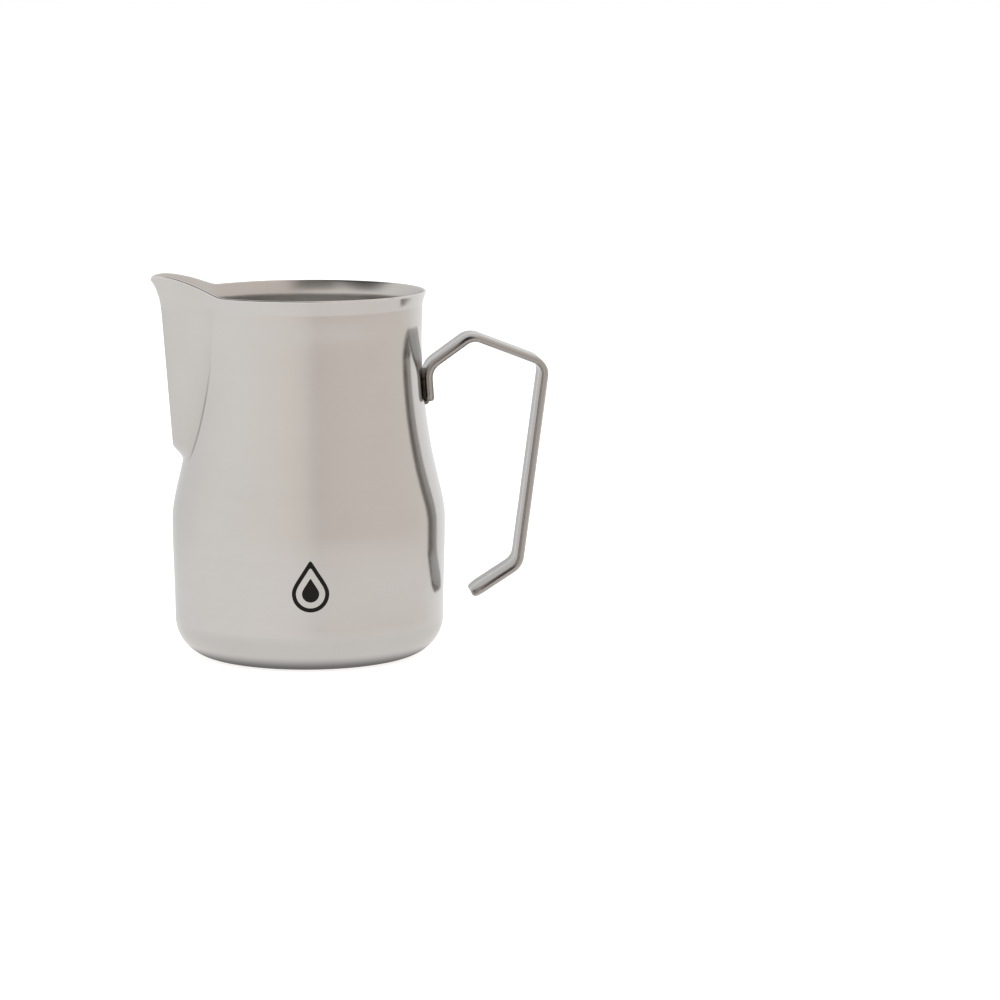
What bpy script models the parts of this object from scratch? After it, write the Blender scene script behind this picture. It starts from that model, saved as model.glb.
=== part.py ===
"""Milk frothing pitcher: a drawn steel shell with a pressed spout, and a bent strap handle welded to it.

Sizes are in metres and +Z is up. The origin is the centre of the base, on the surface that it stands on.
The spout points along -X and the handle along +X, so the pitcher is the same on both sides of Y = 0.
"""
import math

import bmesh
import bpy
import numpy as np

# Clearance between pieces that touch on the real object.
TOUCH_GAP = 0.0003

# Shell: the turned profile, from the table up.
WALL = 0.0008
RIM_HEIGHT = 0.1188
BELLY_RADIUS = 0.04455
BELLY_HEIGHT = 0.0445
BELLY_FOOT_INSET = 0.00065
BASE_CORNER_RADIUS = 0.0126
SHOULDER_INSET = 0.0021
SHOULDER_HEIGHT = 0.0574
SHOULDER_SLOPE = -0.25
NECK_RADIUS = 0.0371
NECK_DROP = 0.016
MOUTH_RADIUS = 0.0374
LIP_FLARE = 0.0012
LIP_DROP = 0.0042
LIP_CURVE = 1.3

# Spout: a crest pressed out of the neck, with a flank down each side.
SPOUT_FOOT_RISE = 0.0064
SPOUT_FOOT_LENGTH = 0.0058
SPOUT_FOOT_STEP = 0.0043
SPOUT_CREST_STEP = 0.0104
SPOUT_REACH = 0.0134
SPOUT_CURL_DROP = 0.0115
SPOUT_CURL_CURVE = 4
SPOUT_FOOT_HALF_ANGLE = math.radians(12)
SPOUT_MOUTH_HALF_ANGLE = math.radians(36)
HALF_ANGLE_CURVE = 0.55
CREST_SOFTNESS_AT_FOOT = 0.09
CREST_SOFTNESS_AT_RIM = 0.055
CREASE_AT_FOOT = 0.0003
CREASE_AT_RIM = 0.0025
LEAST_CREASE = 0.1
FAR_SIDE_LIMIT = 0.1

# Rim line: it climbs along each side of the spout and dips again at the tip.
WING_RISE = 0.0078
WING_ANGLE = math.radians(41)
WING_START_SOFTNESS = 0.08
WING_DEPTH = 0.025
TIP_DIP = 0.0036
TIP_DIP_ANGLE = math.radians(5)

# Handle: one flat bar, given by the corners of its middle line before they are rounded.
STRAP_WIDTH = 0.018
STRAP_THICKNESS = 0.0023
STRAP_EDGE = 0.0003
TAB_FOOT_DROP = 0.0357
TAB_TOP_DROP = 0.0249
PEAK_FORWARD = 0.0144
PEAK_DROP = 0.0146
KNUCKLE_ROOM = 0.0327
KNUCKLE_DROP = 0.0239
HEEL_ROOM = 0.0239
HEEL_HEIGHT = 0.0289
TONGUE_ROOM = 0.0085
TONGUE_HEIGHT = 0.0190
TAB_BEND = 0.006
PEAK_BEND = 0.0055
KNUCKLE_BEND = 0.0050
HEEL_BEND = 0.006
TAB_CORNER = 0.002
TONGUE_CORNER = 0.004

# Welds at the two ends of the tab.
UPPER_WELD_LENGTH = 0.010
UPPER_WELD_HEIGHT = 0.0030
LOWER_WELD_LENGTH = 0.010
LOWER_WELD_LEG = 0.0017
WELD_THINNEST = 0.0003
UPPER_WELD_TAPER = 0.9
LOWER_WELD_TAPER = 0.8

# Mesh density: (end of the sector, columns in it) from the spout's crest round to the handle.
SECTORS = ((math.radians(5), 2), (math.radians(45), 13), (math.radians(90), 6), (math.pi, 10))
CORNER_ROWS = 5
BELLY_ROWS = 3
SHOULDER_ROWS = 3
FOOT_ROWS = 4
TAPER_ROWS = 4
NECK_ROWS = 4
LIP_ROWS = 3
BEND_STEPS = 6
END_STEPS = 5
WELD_STATIONS = 7
WELD_ARC_STEPS = 4
WELD_SEARCH_STEPS = 200

# Edges sharper than these angles stay crisp.
SHELL_SHARP_ANGLE = math.radians(50)
STRAP_SHARP_ANGLE = math.radians(30)
WELD_SHARP_ANGLE = math.radians(40)

NECK_HEIGHT = RIM_HEIGHT - NECK_DROP
SPOUT_FOOT_HEIGHT = SHOULDER_HEIGHT + SPOUT_FOOT_RISE
SPOUT_FOOT_TOP = SPOUT_FOOT_HEIGHT + SPOUT_FOOT_LENGTH

POLISHED_STEEL = ((0.64, 0.62, 0.60, 1.0), 0.12)
STRAP_STEEL = ((0.62, 0.61, 0.59, 1.0), 0.20)
WELD_STEEL = ((0.30, 0.28, 0.26, 1.0), 0.45)


def hermite(x, start, end, start_slope, end_slope):
    """Height-to-radius curve between two (height, radius) points with a given slope at each."""
    span = end[0] - start[0]
    t = np.clip((x - start[0]) / span, 0.0, 1.0)
    return ((2 * t**3 - 3 * t**2 + 1) * start[1] + (t**3 - 2 * t**2 + t) * span * start_slope
            + (3 * t**2 - 2 * t**3) * end[1] + (t**3 - t**2) * span * end_slope)


def soft_above_zero(value, softness):
    """Zero below, value above, with a parabola between -softness and +softness."""
    blend = (value + softness) ** 2 / (4 * softness)
    return np.where(value > softness, value, np.where(value < -softness, 0.0, blend))


def wall_radius(z):
    """Outer radius of the turned wall at a height, without the spout and the lip's flare."""
    z = np.asarray(z, dtype=float)
    foot = (BASE_CORNER_RADIUS, BELLY_RADIUS - BELLY_FOOT_INSET)
    belly = (BELLY_HEIGHT, BELLY_RADIUS)
    shoulder = (SHOULDER_HEIGHT, BELLY_RADIUS - SHOULDER_INSET)
    neck = (NECK_HEIGHT, NECK_RADIUS)
    mouth = (RIM_HEIGHT - LIP_DROP, MOUTH_RADIUS)
    below_belly = hermite(z, foot, belly, 0.0, 0.0)
    below_shoulder = hermite(z, belly, shoulder, 0.0, SHOULDER_SLOPE)
    below_neck = hermite(z, shoulder, neck, SHOULDER_SLOPE, 0.0)
    below_mouth = hermite(z, neck, mouth, 0.0, 0.0)
    drop = np.clip(BASE_CORNER_RADIUS - z, 0.0, BASE_CORNER_RADIUS)
    corner = foot[1] - BASE_CORNER_RADIUS + np.sqrt(BASE_CORNER_RADIUS**2 - drop**2)
    levels = [z < foot[0], z < belly[0], z < shoulder[0], z < neck[0]]
    return np.select(levels, [corner, below_belly, below_shoulder, below_neck], below_mouth)


def rim_rise(angle):
    """How far the rim stands above its level part, at an angle from the spout's crest."""
    climb = WING_RISE * soft_above_zero(1 - np.abs(angle) / WING_ANGLE, WING_START_SOFTNESS)
    return climb - TIP_DIP * np.exp(-np.abs(angle) / TIP_DIP_ANGLE)


def crest_radius(level, z):
    """Distance of the spout's crest from the axis on the row that starts at a level, at a height."""
    foot_radius = float(wall_radius(SPOUT_FOOT_TOP)) + SPOUT_FOOT_STEP
    line_slope = (MOUTH_RADIUS + SPOUT_CREST_STEP - foot_radius) / (RIM_HEIGHT - SPOUT_FOOT_TOP)
    line = foot_radius + line_slope * (np.minimum(z, RIM_HEIGHT) - SPOUT_FOOT_TOP)
    curl = max(0.0, (level - RIM_HEIGHT + SPOUT_CURL_DROP) / SPOUT_CURL_DROP) ** SPOUT_CURL_CURVE
    return line + (SPOUT_REACH - SPOUT_CREST_STEP) * curl


def spout_share(z):
    """How much of the spout stands out at a height: none below its foot and all of it above that."""
    t = np.clip((z - SPOUT_FOOT_HEIGHT) / SPOUT_FOOT_LENGTH, 0.0, 1.0)
    return t**2 * (3 - 2 * t)


def half_width(up):
    """Angle from the spout's crest to its crease, at a share of the way up the spout."""
    return SPOUT_FOOT_HALF_ANGLE + (SPOUT_MOUTH_HALF_ANGLE - SPOUT_FOOT_HALF_ANGLE) * up**HALF_ANGLE_CURVE


def shell_radius(level, z, angle):
    """Outer radius of the shell on the row from a level, at a height and an angle from the crest."""
    flare = LIP_FLARE * np.clip((level - RIM_HEIGHT + LIP_DROP) / LIP_DROP, 0.0, 1.0) ** LIP_CURVE
    wall = wall_radius(z) + flare
    crest = crest_radius(level, z)
    up = np.clip((z - SPOUT_FOOT_HEIGHT) / (RIM_HEIGHT - SPOUT_FOOT_HEIGHT), 0.0, 1.0)
    half_angle = half_width(up)
    softness = CREST_SOFTNESS_AT_FOOT + (CREST_SOFTNESS_AT_RIM - CREST_SOFTNESS_AT_FOOT) * up
    crease = CREASE_AT_FOOT + (CREASE_AT_RIM - CREASE_AT_FOOT) * up**2
    across = np.sqrt(np.sin(angle) ** 2 + softness**2) - softness
    spread = np.sqrt(np.sin(half_angle) ** 2 + softness**2)
    flank_slope = (crest / wall - np.cos(half_angle)) / (spread - softness)
    turned = np.minimum(angle, 2 * math.pi - angle)
    past_crease = np.maximum(turned - half_angle, 0.0)
    steepness = np.sin(half_angle) * (flank_slope * np.cos(half_angle) / spread - 1) * wall / crest
    flank = crest / np.maximum(np.cos(angle) + flank_slope * across, FAR_SIDE_LIMIT)
    beyond = -wall * np.maximum(steepness, LEAST_CREASE) * past_crease
    proud = np.where(past_crease > 0, beyond, flank - wall)
    return wall + spout_share(z) * soft_above_zero(proud, crease)


def column_angles():
    """Angles from the spout's crest, right round the shell, closest together at the spout."""
    half = [0.0]
    for sector_end, count in SECTORS:
        half.extend(np.linspace(half[-1], sector_end, count + 1)[1:])
    return np.array(half + [2 * math.pi - angle for angle in reversed(half[1:-1])])


def row_levels():
    """Heights of the shell's rows, from the table to the rim, on the side away from the spout."""
    corner_turns = np.linspace(0.0, math.pi / 2, CORNER_ROWS + 1)
    corner = BASE_CORNER_RADIUS * (1 - np.cos(corner_turns))
    belly = np.linspace(BASE_CORNER_RADIUS, BELLY_HEIGHT, BELLY_ROWS + 1)[1:]
    shoulder = np.linspace(BELLY_HEIGHT, SHOULDER_HEIGHT, SHOULDER_ROWS + 1)[1:]
    foot = np.linspace(SPOUT_FOOT_HEIGHT, SPOUT_FOOT_TOP, FOOT_ROWS + 1)
    taper = np.linspace(SPOUT_FOOT_TOP, NECK_HEIGHT, TAPER_ROWS + 1)[1:]
    neck = np.linspace(NECK_HEIGHT, RIM_HEIGHT - LIP_DROP, NECK_ROWS + 1)[1:]
    lip = np.linspace(RIM_HEIGHT - LIP_DROP, RIM_HEIGHT, LIP_ROWS + 1)[1:]
    return np.concatenate([corner, belly, shoulder, foot, taper, neck, lip])


def shell_rows():
    """Rings of points on the outer surface, from the edge of the flat base up to the rim."""
    angles = column_angles()
    climb_start = RIM_HEIGHT - WING_DEPTH
    rings = []
    for level in row_levels():
        share = max(0.0, (level - climb_start) / WING_DEPTH) ** 2
        z = level + share * rim_rise(np.minimum(angles, 2 * math.pi - angles))
        radius = shell_radius(level, z, angles)
        rings.append([(-r * math.cos(a), -r * math.sin(a), h) for r, a, h in zip(radius, angles, z)])
    return rings


def steel(name, look):
    """Metal material with a base colour and a roughness."""
    colour, roughness = look
    material = bpy.data.materials.new(name)
    material.use_nodes = True
    shader = material.node_tree.nodes["Principled BSDF"]
    shader.inputs["Base Color"].default_value = colour
    shader.inputs["Metallic"].default_value = 1.0
    shader.inputs["Roughness"].default_value = roughness
    return material


def add_object(name, vertices, faces, material, sharp_angle):
    """Object of one mesh in the scene, smooth except across edges sharper than an angle."""
    mesh = bpy.data.meshes.new(name)
    mesh.from_pydata([tuple(map(float, vertex)) for vertex in vertices], [], faces)
    mesh.materials.append(material)
    mesh.shade_smooth()
    mesh.set_sharp_from_angle(angle=sharp_angle)
    item = bpy.data.objects.new(name, mesh)
    bpy.context.scene.collection.objects.link(item)
    return item


def ring_faces(ring_count, ring_size):
    """Quads between neighbouring rings of points."""
    faces = []
    for row in range(ring_count - 1):
        for column in range(ring_size):
            after = (column + 1) % ring_size
            low = row * ring_size
            high = low + ring_size
            faces.append((low + column, low + after, high + after, high + column))
    return faces


def loft(name, sections, material, sharp_angle):
    """Solid through a list of closed sections, with a flat cap at each end."""
    size = len(sections[0])
    vertices = [point for section in sections for point in section]
    faces = ring_faces(len(sections), size)
    faces.append(tuple(reversed(range(size))))
    faces.append(tuple(range(len(vertices) - size, len(vertices))))
    item = add_object(name, vertices, faces, material, sharp_angle)
    solid = bmesh.new()
    solid.from_mesh(item.data)
    bmesh.ops.recalc_face_normals(solid, faces=solid.faces)
    solid.to_mesh(item.data)
    solid.free()
    return item


def build_body_shell():
    """The drawn shell: its outer surface, thickened inwards by the wall."""
    rings = shell_rows()
    size = len(rings[0])
    vertices = [point for ring in rings for point in ring] + [(0.0, 0.0, 0.0)]
    centre = len(vertices) - 1
    faces = ring_faces(len(rings), size)
    faces += [(centre, (column + 1) % size, column) for column in range(size)]
    material = steel("polished_steel", POLISHED_STEEL)
    shell = add_object("body_shell", vertices, faces, material, SHELL_SHARP_ANGLE)
    wall = shell.modifiers.new("wall", "SOLIDIFY")
    wall.thickness = WALL
    wall.offset = -1.0
    wall.use_even_offset = True
    return shell


def tab_radius(z):
    """Distance of the tab's middle line from the axis: straight, and clear of the wall all the way."""
    foot = RIM_HEIGHT - TAB_FOOT_DROP
    top = RIM_HEIGHT - TAB_TOP_DROP
    foot_radius = float(wall_radius(foot))
    top_radius = float(wall_radius(top))
    slope = (top_radius - foot_radius) / (top - foot)
    tilt = math.sqrt(1 + slope**2)
    return foot_radius + slope * (z - foot) + (TOUCH_GAP + STRAP_THICKNESS / 2) * tilt


def strap_corners():
    """Corners of the strap's middle line as (x, z, bend radius), from the tab to the tongue's end."""
    tab_foot = RIM_HEIGHT - TAB_FOOT_DROP
    tab_top = RIM_HEIGHT - TAB_TOP_DROP
    tab_x = tab_radius(tab_top)
    return [
        (tab_radius(tab_foot), tab_foot, 0.0),
        (tab_x, tab_top, TAB_BEND),
        (tab_x + PEAK_FORWARD, RIM_HEIGHT - PEAK_DROP, PEAK_BEND),
        (BELLY_RADIUS + KNUCKLE_ROOM, RIM_HEIGHT - KNUCKLE_DROP, KNUCKLE_BEND),
        (BELLY_RADIUS + HEEL_ROOM, HEEL_HEIGHT, HEEL_BEND),
        (BELLY_RADIUS + TONGUE_ROOM, TONGUE_HEIGHT, 0.0),
    ]


def unit(vector):
    """Vector of length one."""
    return vector / np.linalg.norm(vector)


def bend_points(before, corner, after, radius):
    """Arc of a given radius that rounds the corner between two straight runs."""
    arriving = unit(corner - before)
    leaving = unit(after - corner)
    turn = math.acos(float(np.clip(arriving @ leaving, -1.0, 1.0)))
    setback = radius * math.tan(turn / 2)
    side = unit(leaving - arriving)
    centre = corner + side * math.hypot(radius, setback)
    start = corner - arriving * setback - centre
    sense = 1.0 if arriving[0] * leaving[1] - arriving[1] * leaving[0] > 0 else -1.0
    points = []
    for step in range(BEND_STEPS + 1):
        swing = sense * turn * step / BEND_STEPS
        cosine = math.cos(swing)
        sine = math.sin(swing)
        turned = np.array([cosine * start[0] - sine * start[1], sine * start[0] + cosine * start[1]])
        points.append(centre + turned)
    return points


def end_stations(end, towards, corner_radius):
    """Points near an end of the strap, with how much narrower each half is there, from the end inwards."""
    direction = unit(towards - end)
    stations = []
    for step in range(END_STEPS + 1):
        turn = math.pi / 2 * step / END_STEPS
        inwards = corner_radius * (1 - math.cos(turn))
        narrower = corner_radius * (1 - math.sin(turn))
        stations.append((end + direction * inwards, narrower))
    return stations


def strap_stations():
    """Points along the strap's middle line, each with how much narrower each half is there."""
    corners = strap_corners()
    points = [np.array(corner[:2]) for corner in corners]
    stations = end_stations(points[0], points[1], TAB_CORNER)
    for index in range(1, len(points) - 1):
        arc = bend_points(points[index - 1], points[index], points[index + 1], corners[index][2])
        stations.extend((point, 0.0) for point in arc)
    stations.extend(reversed(end_stations(points[-1], points[-2], TONGUE_CORNER)))
    return stations


def strap_normals(points):
    """Unit normals of the middle line, on the side that faces the wall at the tab."""
    normals = []
    for index in range(len(points)):
        before = points[max(index - 1, 0)]
        after = points[min(index + 1, len(points) - 1)]
        arriving = unit(points[index] - before) if index > 0 else unit(after - points[index])
        leaving = unit(after - points[index]) if index < len(points) - 1 else arriving
        along = unit(arriving + leaving)
        normals.append(np.array([-along[1], along[0]]))
    return normals


def build_handle_strap():
    """The handle: a flat bar with eased edges, lofted along its bent middle line."""
    stations = strap_stations()
    points = [point for point, _ in stations]
    half_thick = STRAP_THICKNESS / 2
    sections = []
    for (point, narrower), normal in zip(stations, strap_normals(points)):
        half_wide = STRAP_WIDTH / 2 - narrower
        outline = [
            (half_wide - STRAP_EDGE, half_thick), (half_wide, half_thick - STRAP_EDGE),
            (half_wide, STRAP_EDGE - half_thick), (half_wide - STRAP_EDGE, -half_thick),
            (STRAP_EDGE - half_wide, -half_thick), (-half_wide, STRAP_EDGE - half_thick),
            (-half_wide, half_thick - STRAP_EDGE), (STRAP_EDGE - half_wide, half_thick),
        ]
        x, z = point
        sections.append([(x + normal[0] * up, across, z + normal[1] * up) for across, up in outline])
    return loft("handle_strap", sections, steel("strap_steel", STRAP_STEEL), STRAP_SHARP_ANGLE)


def wall_x(z, y):
    """X of the wall's face, with the touch gap, on the handle's side of the shell."""
    return math.sqrt((float(wall_radius(z)) + TOUCH_GAP) ** 2 - y**2)


def build_weld_bead_upper(material):
    """Bead in the crook between the wall and the strap's first bend, highest at its middle."""
    corners = [np.array(corner[:2]) for corner in strap_corners()]
    arc = bend_points(corners[0], corners[1], corners[2], TAB_BEND)
    clear = STRAP_THICKNESS / 2 + TOUCH_GAP
    face = [point + normal * clear for point, normal in zip(arc, strap_normals(arc))]
    face += [face[-1] + unit(corners[2] - corners[1]) * UPPER_WELD_HEIGHT * share for share in (0.5, 1.0)]
    face_z = [point[1] for point in face]
    face_x = [point[0] for point in face]
    heights = np.linspace(face_z[0], face_z[-1], WELD_SEARCH_STEPS)
    open_heights = [z for z in heights if np.interp(z, face_z, face_x) - wall_x(z, 0.0) > WELD_THINNEST]
    bottom = open_heights[0]
    sections = []
    for y in np.linspace(-UPPER_WELD_LENGTH / 2, UPPER_WELD_LENGTH / 2, WELD_STATIONS):
        fullness = math.sqrt(1 - UPPER_WELD_TAPER * (2 * y / UPPER_WELD_LENGTH) ** 2)
        levels = bottom + UPPER_WELD_HEIGHT * fullness * np.linspace(0.0, 1.0, WELD_ARC_STEPS)
        wall_side = [(wall_x(z, y), y, z) for z in levels]
        strap_side = [(float(np.interp(z, face_z, face_x)), y, z) for z in levels]
        sections.append(wall_side[::-1] + strap_side)
    return loft("weld_bead_upper", sections, material, WELD_SHARP_ANGLE)


def build_weld_bead_lower(material):
    """Bead under the tab's lower end, filling the corner between its end face and the wall."""
    tab_foot, tab_top = (np.array(corner[:2]) for corner in strap_corners()[:2])
    end_face_lean = abs(unit(tab_top - tab_foot)[0]) * STRAP_THICKNESS / 2
    top = tab_foot[1] - end_face_lean - TOUCH_GAP
    sections = []
    for y in np.linspace(-LOWER_WELD_LENGTH / 2, LOWER_WELD_LENGTH / 2, WELD_STATIONS):
        leg = LOWER_WELD_LEG * math.sqrt(1 - LOWER_WELD_TAPER * (2 * y / LOWER_WELD_LENGTH) ** 2)
        turns = np.linspace(0.0, math.pi / 2, WELD_ARC_STEPS + 1)
        section = [(wall_x(top, y), y, top)]
        for turn in turns:
            z = top - leg * math.sin(turn)
            section.append((wall_x(z, y) + leg * math.cos(turn), y, z))
        sections.append(section)
    return loft("weld_bead_lower", sections, material, WELD_SHARP_ANGLE)


def main():
    """Clear the scene and build the four pieces."""
    for item in list(bpy.data.objects):
        bpy.data.objects.remove(item, do_unlink=True)
    build_body_shell()
    build_handle_strap()
    weld_steel = steel("weld_steel", WELD_STEEL)
    build_weld_bead_upper(weld_steel)
    build_weld_bead_lower(weld_steel)


main()
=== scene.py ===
"""Finished look of a milk frothing pitcher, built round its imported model.

Run as a script, it builds the polished shell, the strap handle, the welds, the printed mark and the studio.
Sizes are in metres, in the model's own frame: +Z up from the table, the spout along -X, the handle along +X.
"""
import math

import bmesh
import bpy
import numpy as np
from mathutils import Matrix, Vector


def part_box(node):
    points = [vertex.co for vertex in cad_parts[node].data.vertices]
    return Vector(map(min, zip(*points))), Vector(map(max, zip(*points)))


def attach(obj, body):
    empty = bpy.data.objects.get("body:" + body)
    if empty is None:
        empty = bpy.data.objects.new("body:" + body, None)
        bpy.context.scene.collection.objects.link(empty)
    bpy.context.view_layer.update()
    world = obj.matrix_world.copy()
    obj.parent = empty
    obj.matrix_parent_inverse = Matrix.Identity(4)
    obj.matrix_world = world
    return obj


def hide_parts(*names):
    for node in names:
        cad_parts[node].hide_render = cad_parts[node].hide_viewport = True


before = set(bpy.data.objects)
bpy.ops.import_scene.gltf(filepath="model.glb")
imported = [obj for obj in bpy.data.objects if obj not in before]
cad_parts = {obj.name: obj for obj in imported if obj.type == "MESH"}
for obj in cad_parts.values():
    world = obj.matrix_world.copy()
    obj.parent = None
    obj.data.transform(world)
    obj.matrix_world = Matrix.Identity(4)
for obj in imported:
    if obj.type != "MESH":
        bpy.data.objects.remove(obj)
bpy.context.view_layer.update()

bl_info = {
    "name": "Milk Frothing Pitcher",
    "version": (1, 0, 0),
    "blender": (4, 5, 0),
    "location": "3D View > Sidebar > Pitcher",
    "description": "Builds a polished steel milk frothing pitcher round its packed model",
    "category": "Object",
}

SHELL_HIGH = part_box("body_shell")[1]
STRAP_LOW, STRAP_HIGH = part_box("handle_strap")

# Shell: the turned profile, from the table up.
BELLY_RADIUS = SHELL_HIGH.y
RIM_HEIGHT = 0.1188
BELLY_HEIGHT = 0.0445
BELLY_FOOT_INSET = 0.00065
BASE_CORNER_RADIUS = 0.0126
SHOULDER_INSET = 0.0021
SHOULDER_HEIGHT = 0.0574
SHOULDER_SLOPE = -0.25
NECK_RADIUS = 0.0371
NECK_DROP = 0.016
MOUTH_RADIUS = 0.0374
LIP_FLARE = 0.0012
LIP_DROP = 0.0042
LIP_CURVE = 1.3

# Spout: a crest pressed out of the neck, with a flank down each side.
SPOUT_FOOT_RISE = 0.0064
SPOUT_FOOT_LENGTH = 0.0058
SPOUT_FOOT_STEP = 0.0043
SPOUT_CREST_STEP = 0.0104
SPOUT_REACH = 0.0134
SPOUT_CURL_DROP = 0.0115
SPOUT_CURL_CURVE = 4
SPOUT_FOOT_HALF_ANGLE = math.radians(12)
SPOUT_MOUTH_HALF_ANGLE = math.radians(36)
HALF_ANGLE_CURVE = 0.55
CREST_SOFTNESS_AT_FOOT = 0.09
CREST_SOFTNESS_AT_RIM = 0.055
CREASE_AT_FOOT = 0.0003
CREASE_AT_RIM = 0.0025
LEAST_CREASE = 0.1
FAR_SIDE_LIMIT = 0.1

# Painted shade along the crease, on top of the shade of its real shape: a narrow dark line that fades near
# the rim, and a soft painted shade on the spout's side.
CREASE_BAND = math.radians(1.2)
CREASE_FADE_TOP = 0.1
CREASE_FADE_LENGTH = 0.015
CREASE_SHADE = 0.17
CREASE_SHADE_FADE = 0.03
CREASE_SHADE_WIDTH = math.radians(7)

# Rim line: it climbs along each side of the spout and dips again at the tip.
WING_RISE = 0.0078
WING_ANGLE = math.radians(41)
WING_START_SOFTNESS = 0.08
WING_DEPTH = 0.025
TIP_DIP = 0.0036
TIP_DIP_ANGLE = math.radians(5)
LIP_ROUNDING = 0.25

# Handle: the corners of the bar's middle line before they are rounded.
TOUCH_GAP = 0.0003
STRAP_THICKNESS = 0.0023
STRAP_POLISHED_OFF = 0.00007
TAB_FOOT_DROP = 0.0357
TAB_TOP_DROP = 0.0249
PEAK_FORWARD = 0.0144
PEAK_DROP = 0.0146
KNUCKLE_ROOM = 0.0327
KNUCKLE_DROP = 0.0239
HEEL_ROOM = 0.0239
HEEL_HEIGHT = 0.0289
TONGUE_ROOM = 0.0085
TONGUE_HEIGHT = 0.0190
TAB_BEND = 0.006
PEAK_BEND = 0.0055
KNUCKLE_BEND = 0.0050
HEEL_BEND = 0.006
TAB_CORNER = 0.002
TONGUE_CORNER = 0.004
EDGE_FLATNESS = 0.75
LEAST_EDGE = 0.02
END_WEAR = 0.6

# Welds at the two ends of the tab.
UPPER_WELD_LENGTH = 0.010
UPPER_WELD_HEIGHT = 0.0030
LOWER_WELD_LENGTH = 0.010
LOWER_WELD_LEG = 0.0017
WELD_BITE = 0.00005
SEAM_WIDTH = 0.008
RIPPLE_SPACING = 0.0009
RIPPLE_HEIGHT = 0.00007
WELD_TAPER = 0.97
WELD_SAG = 0.22

# Printed drop, in shares of its height: its belly, its pinched point, and the scales of its ring and heart.
DROP_BELLY = 0.36
DROP_PINCH = 0.62
DROP_POINT = 0.28
DROP_POINT_CURVE = 2.6
DROP_MIDDLE = 0.14
DROP_POINTS = 96
RING_SCALES = (0.78, 0.85, 0.93, 1.0)
HEART_SCALES = (0.05, 0.18, 0.32, 0.46)

# Finishes: the colours of marks, wear and the crease's painted shade, and the bump heights.
SHELL_SMEAR = (0.50, 0.485, 0.465, 1.0)
SHELL_SCRATCH = (0.78, 0.77, 0.76, 1.0)
SHELL_WEAR = (0.80, 0.79, 0.78, 1.0)
PAINTED_CREASE_SHADE_COLOUR = (0.16, 0.15, 0.14, 1.0)
STRAP_SMEAR = (0.47, 0.455, 0.435, 1.0)
STRAP_SCRATCH = (0.74, 0.73, 0.72, 1.0)
STRAP_WEAR = (0.50, 0.49, 0.48, 1.0)
HEAT_TINT = (0.26, 0.19, 0.13, 1.0)
WELD_SOOT = (0.08, 0.075, 0.07, 1.0)
RUBBED_PRINT = (0.05, 0.05, 0.05, 1.0)
SHELL_BUMP = 0.0000008
STRAP_BUMP = 0.0000025
WELD_BUMP = 0.00004
PRINT_BUMP = 0.000006

# Floor: its tones, and the distances from the middle at which the metal mirrors it darker, as a painted
# contact shadow, or not at all.
FLOOR_RADIUS = 9.0
FLOOR_RINGS = 6
FLOOR_SPOKES = 64
FLOOR_DARKER = (0.60, 0.60, 0.60, 1.0)
FLOOR_LIGHTER = (0.62, 0.62, 0.62, 1.0)
FLOOR_GLOW_COLOUR = (1.0, 0.972, 0.945, 1.0)
CONTACT_GLOW = 0.2
CONTACT_FROM = 0.035
CONTACT_TO = 0.043
MIRROR_FADE_FROM = 0.045
MIRROR_FADE_TO = 0.105

# What the polished metal sees round the room, by bearing in degrees: 0 is in front and 90 beyond the handle.
ROOM_BEARINGS = (
    (-180, (0.80, 0.80, 0.80)), (-155, (0.77, 0.76, 0.75)), (-130, (0.86, 0.84, 0.82)),
    (-100, (0.95, 0.93, 0.90)), (-60, (0.95, 0.91, 0.87)), (-25, (0.92, 0.87, 0.81)),
    (-7, (0.88, 0.82, 0.77)), (3, (0.76, 0.70, 0.655)), (9, (0.78, 0.71, 0.665)),
    (20, (0.80, 0.72, 0.67)), (40, (0.82, 0.74, 0.69)), (80, (0.82, 0.75, 0.69)),
    (115, (0.83, 0.78, 0.73)), (135, (0.95, 0.94, 0.93)), (165, (0.92, 0.92, 0.92)),
    (180, (0.80, 0.80, 0.80)),
)
# The room's lowest part takes the floor's tone. Heights in the room are a direction's share along +Z.
NEAR_FLOOR = (0.97, 0.94, 0.92, 1.0)
NEAR_FLOOR_SHARE = 0.62
NEAR_FLOOR_FROM = -0.155
NEAR_FLOOR_TO = -0.205

# Two black panels that only metal mirrors: a round one on the ceiling and a tall one in front.
PANEL_BLACK = (0.03, 0.03, 0.03, 1.0)
CEILING_PANEL = Vector((-0.58, -0.17, 0.79))
CEILING_PANEL_RIM = 0.80
CEILING_PANEL_CORE = 0.89
FRONT_PANEL_BEARING = math.radians(-12)
FRONT_PANEL_RIM = math.radians(32)
FRONT_PANEL_CORE = math.radians(16)
FRONT_PANEL_LOW = 0.37
FRONT_PANEL_HIGH = 0.45
FRONT_PANEL_SHARE = 0.85

# Camera film, clipping, and the soft lights as (name, place, diameter, power).
FILM_WIDTH = 36.0
CLIP_NEAR = 0.05
CLIP_FAR = 60.0
SOFTBOXES = (("soft_key", (-0.9, -0.7, 1.3), 0.9, 1.5), ("soft_fill", (1.0, -0.5, 0.9), 1.1, 0.8))

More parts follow.
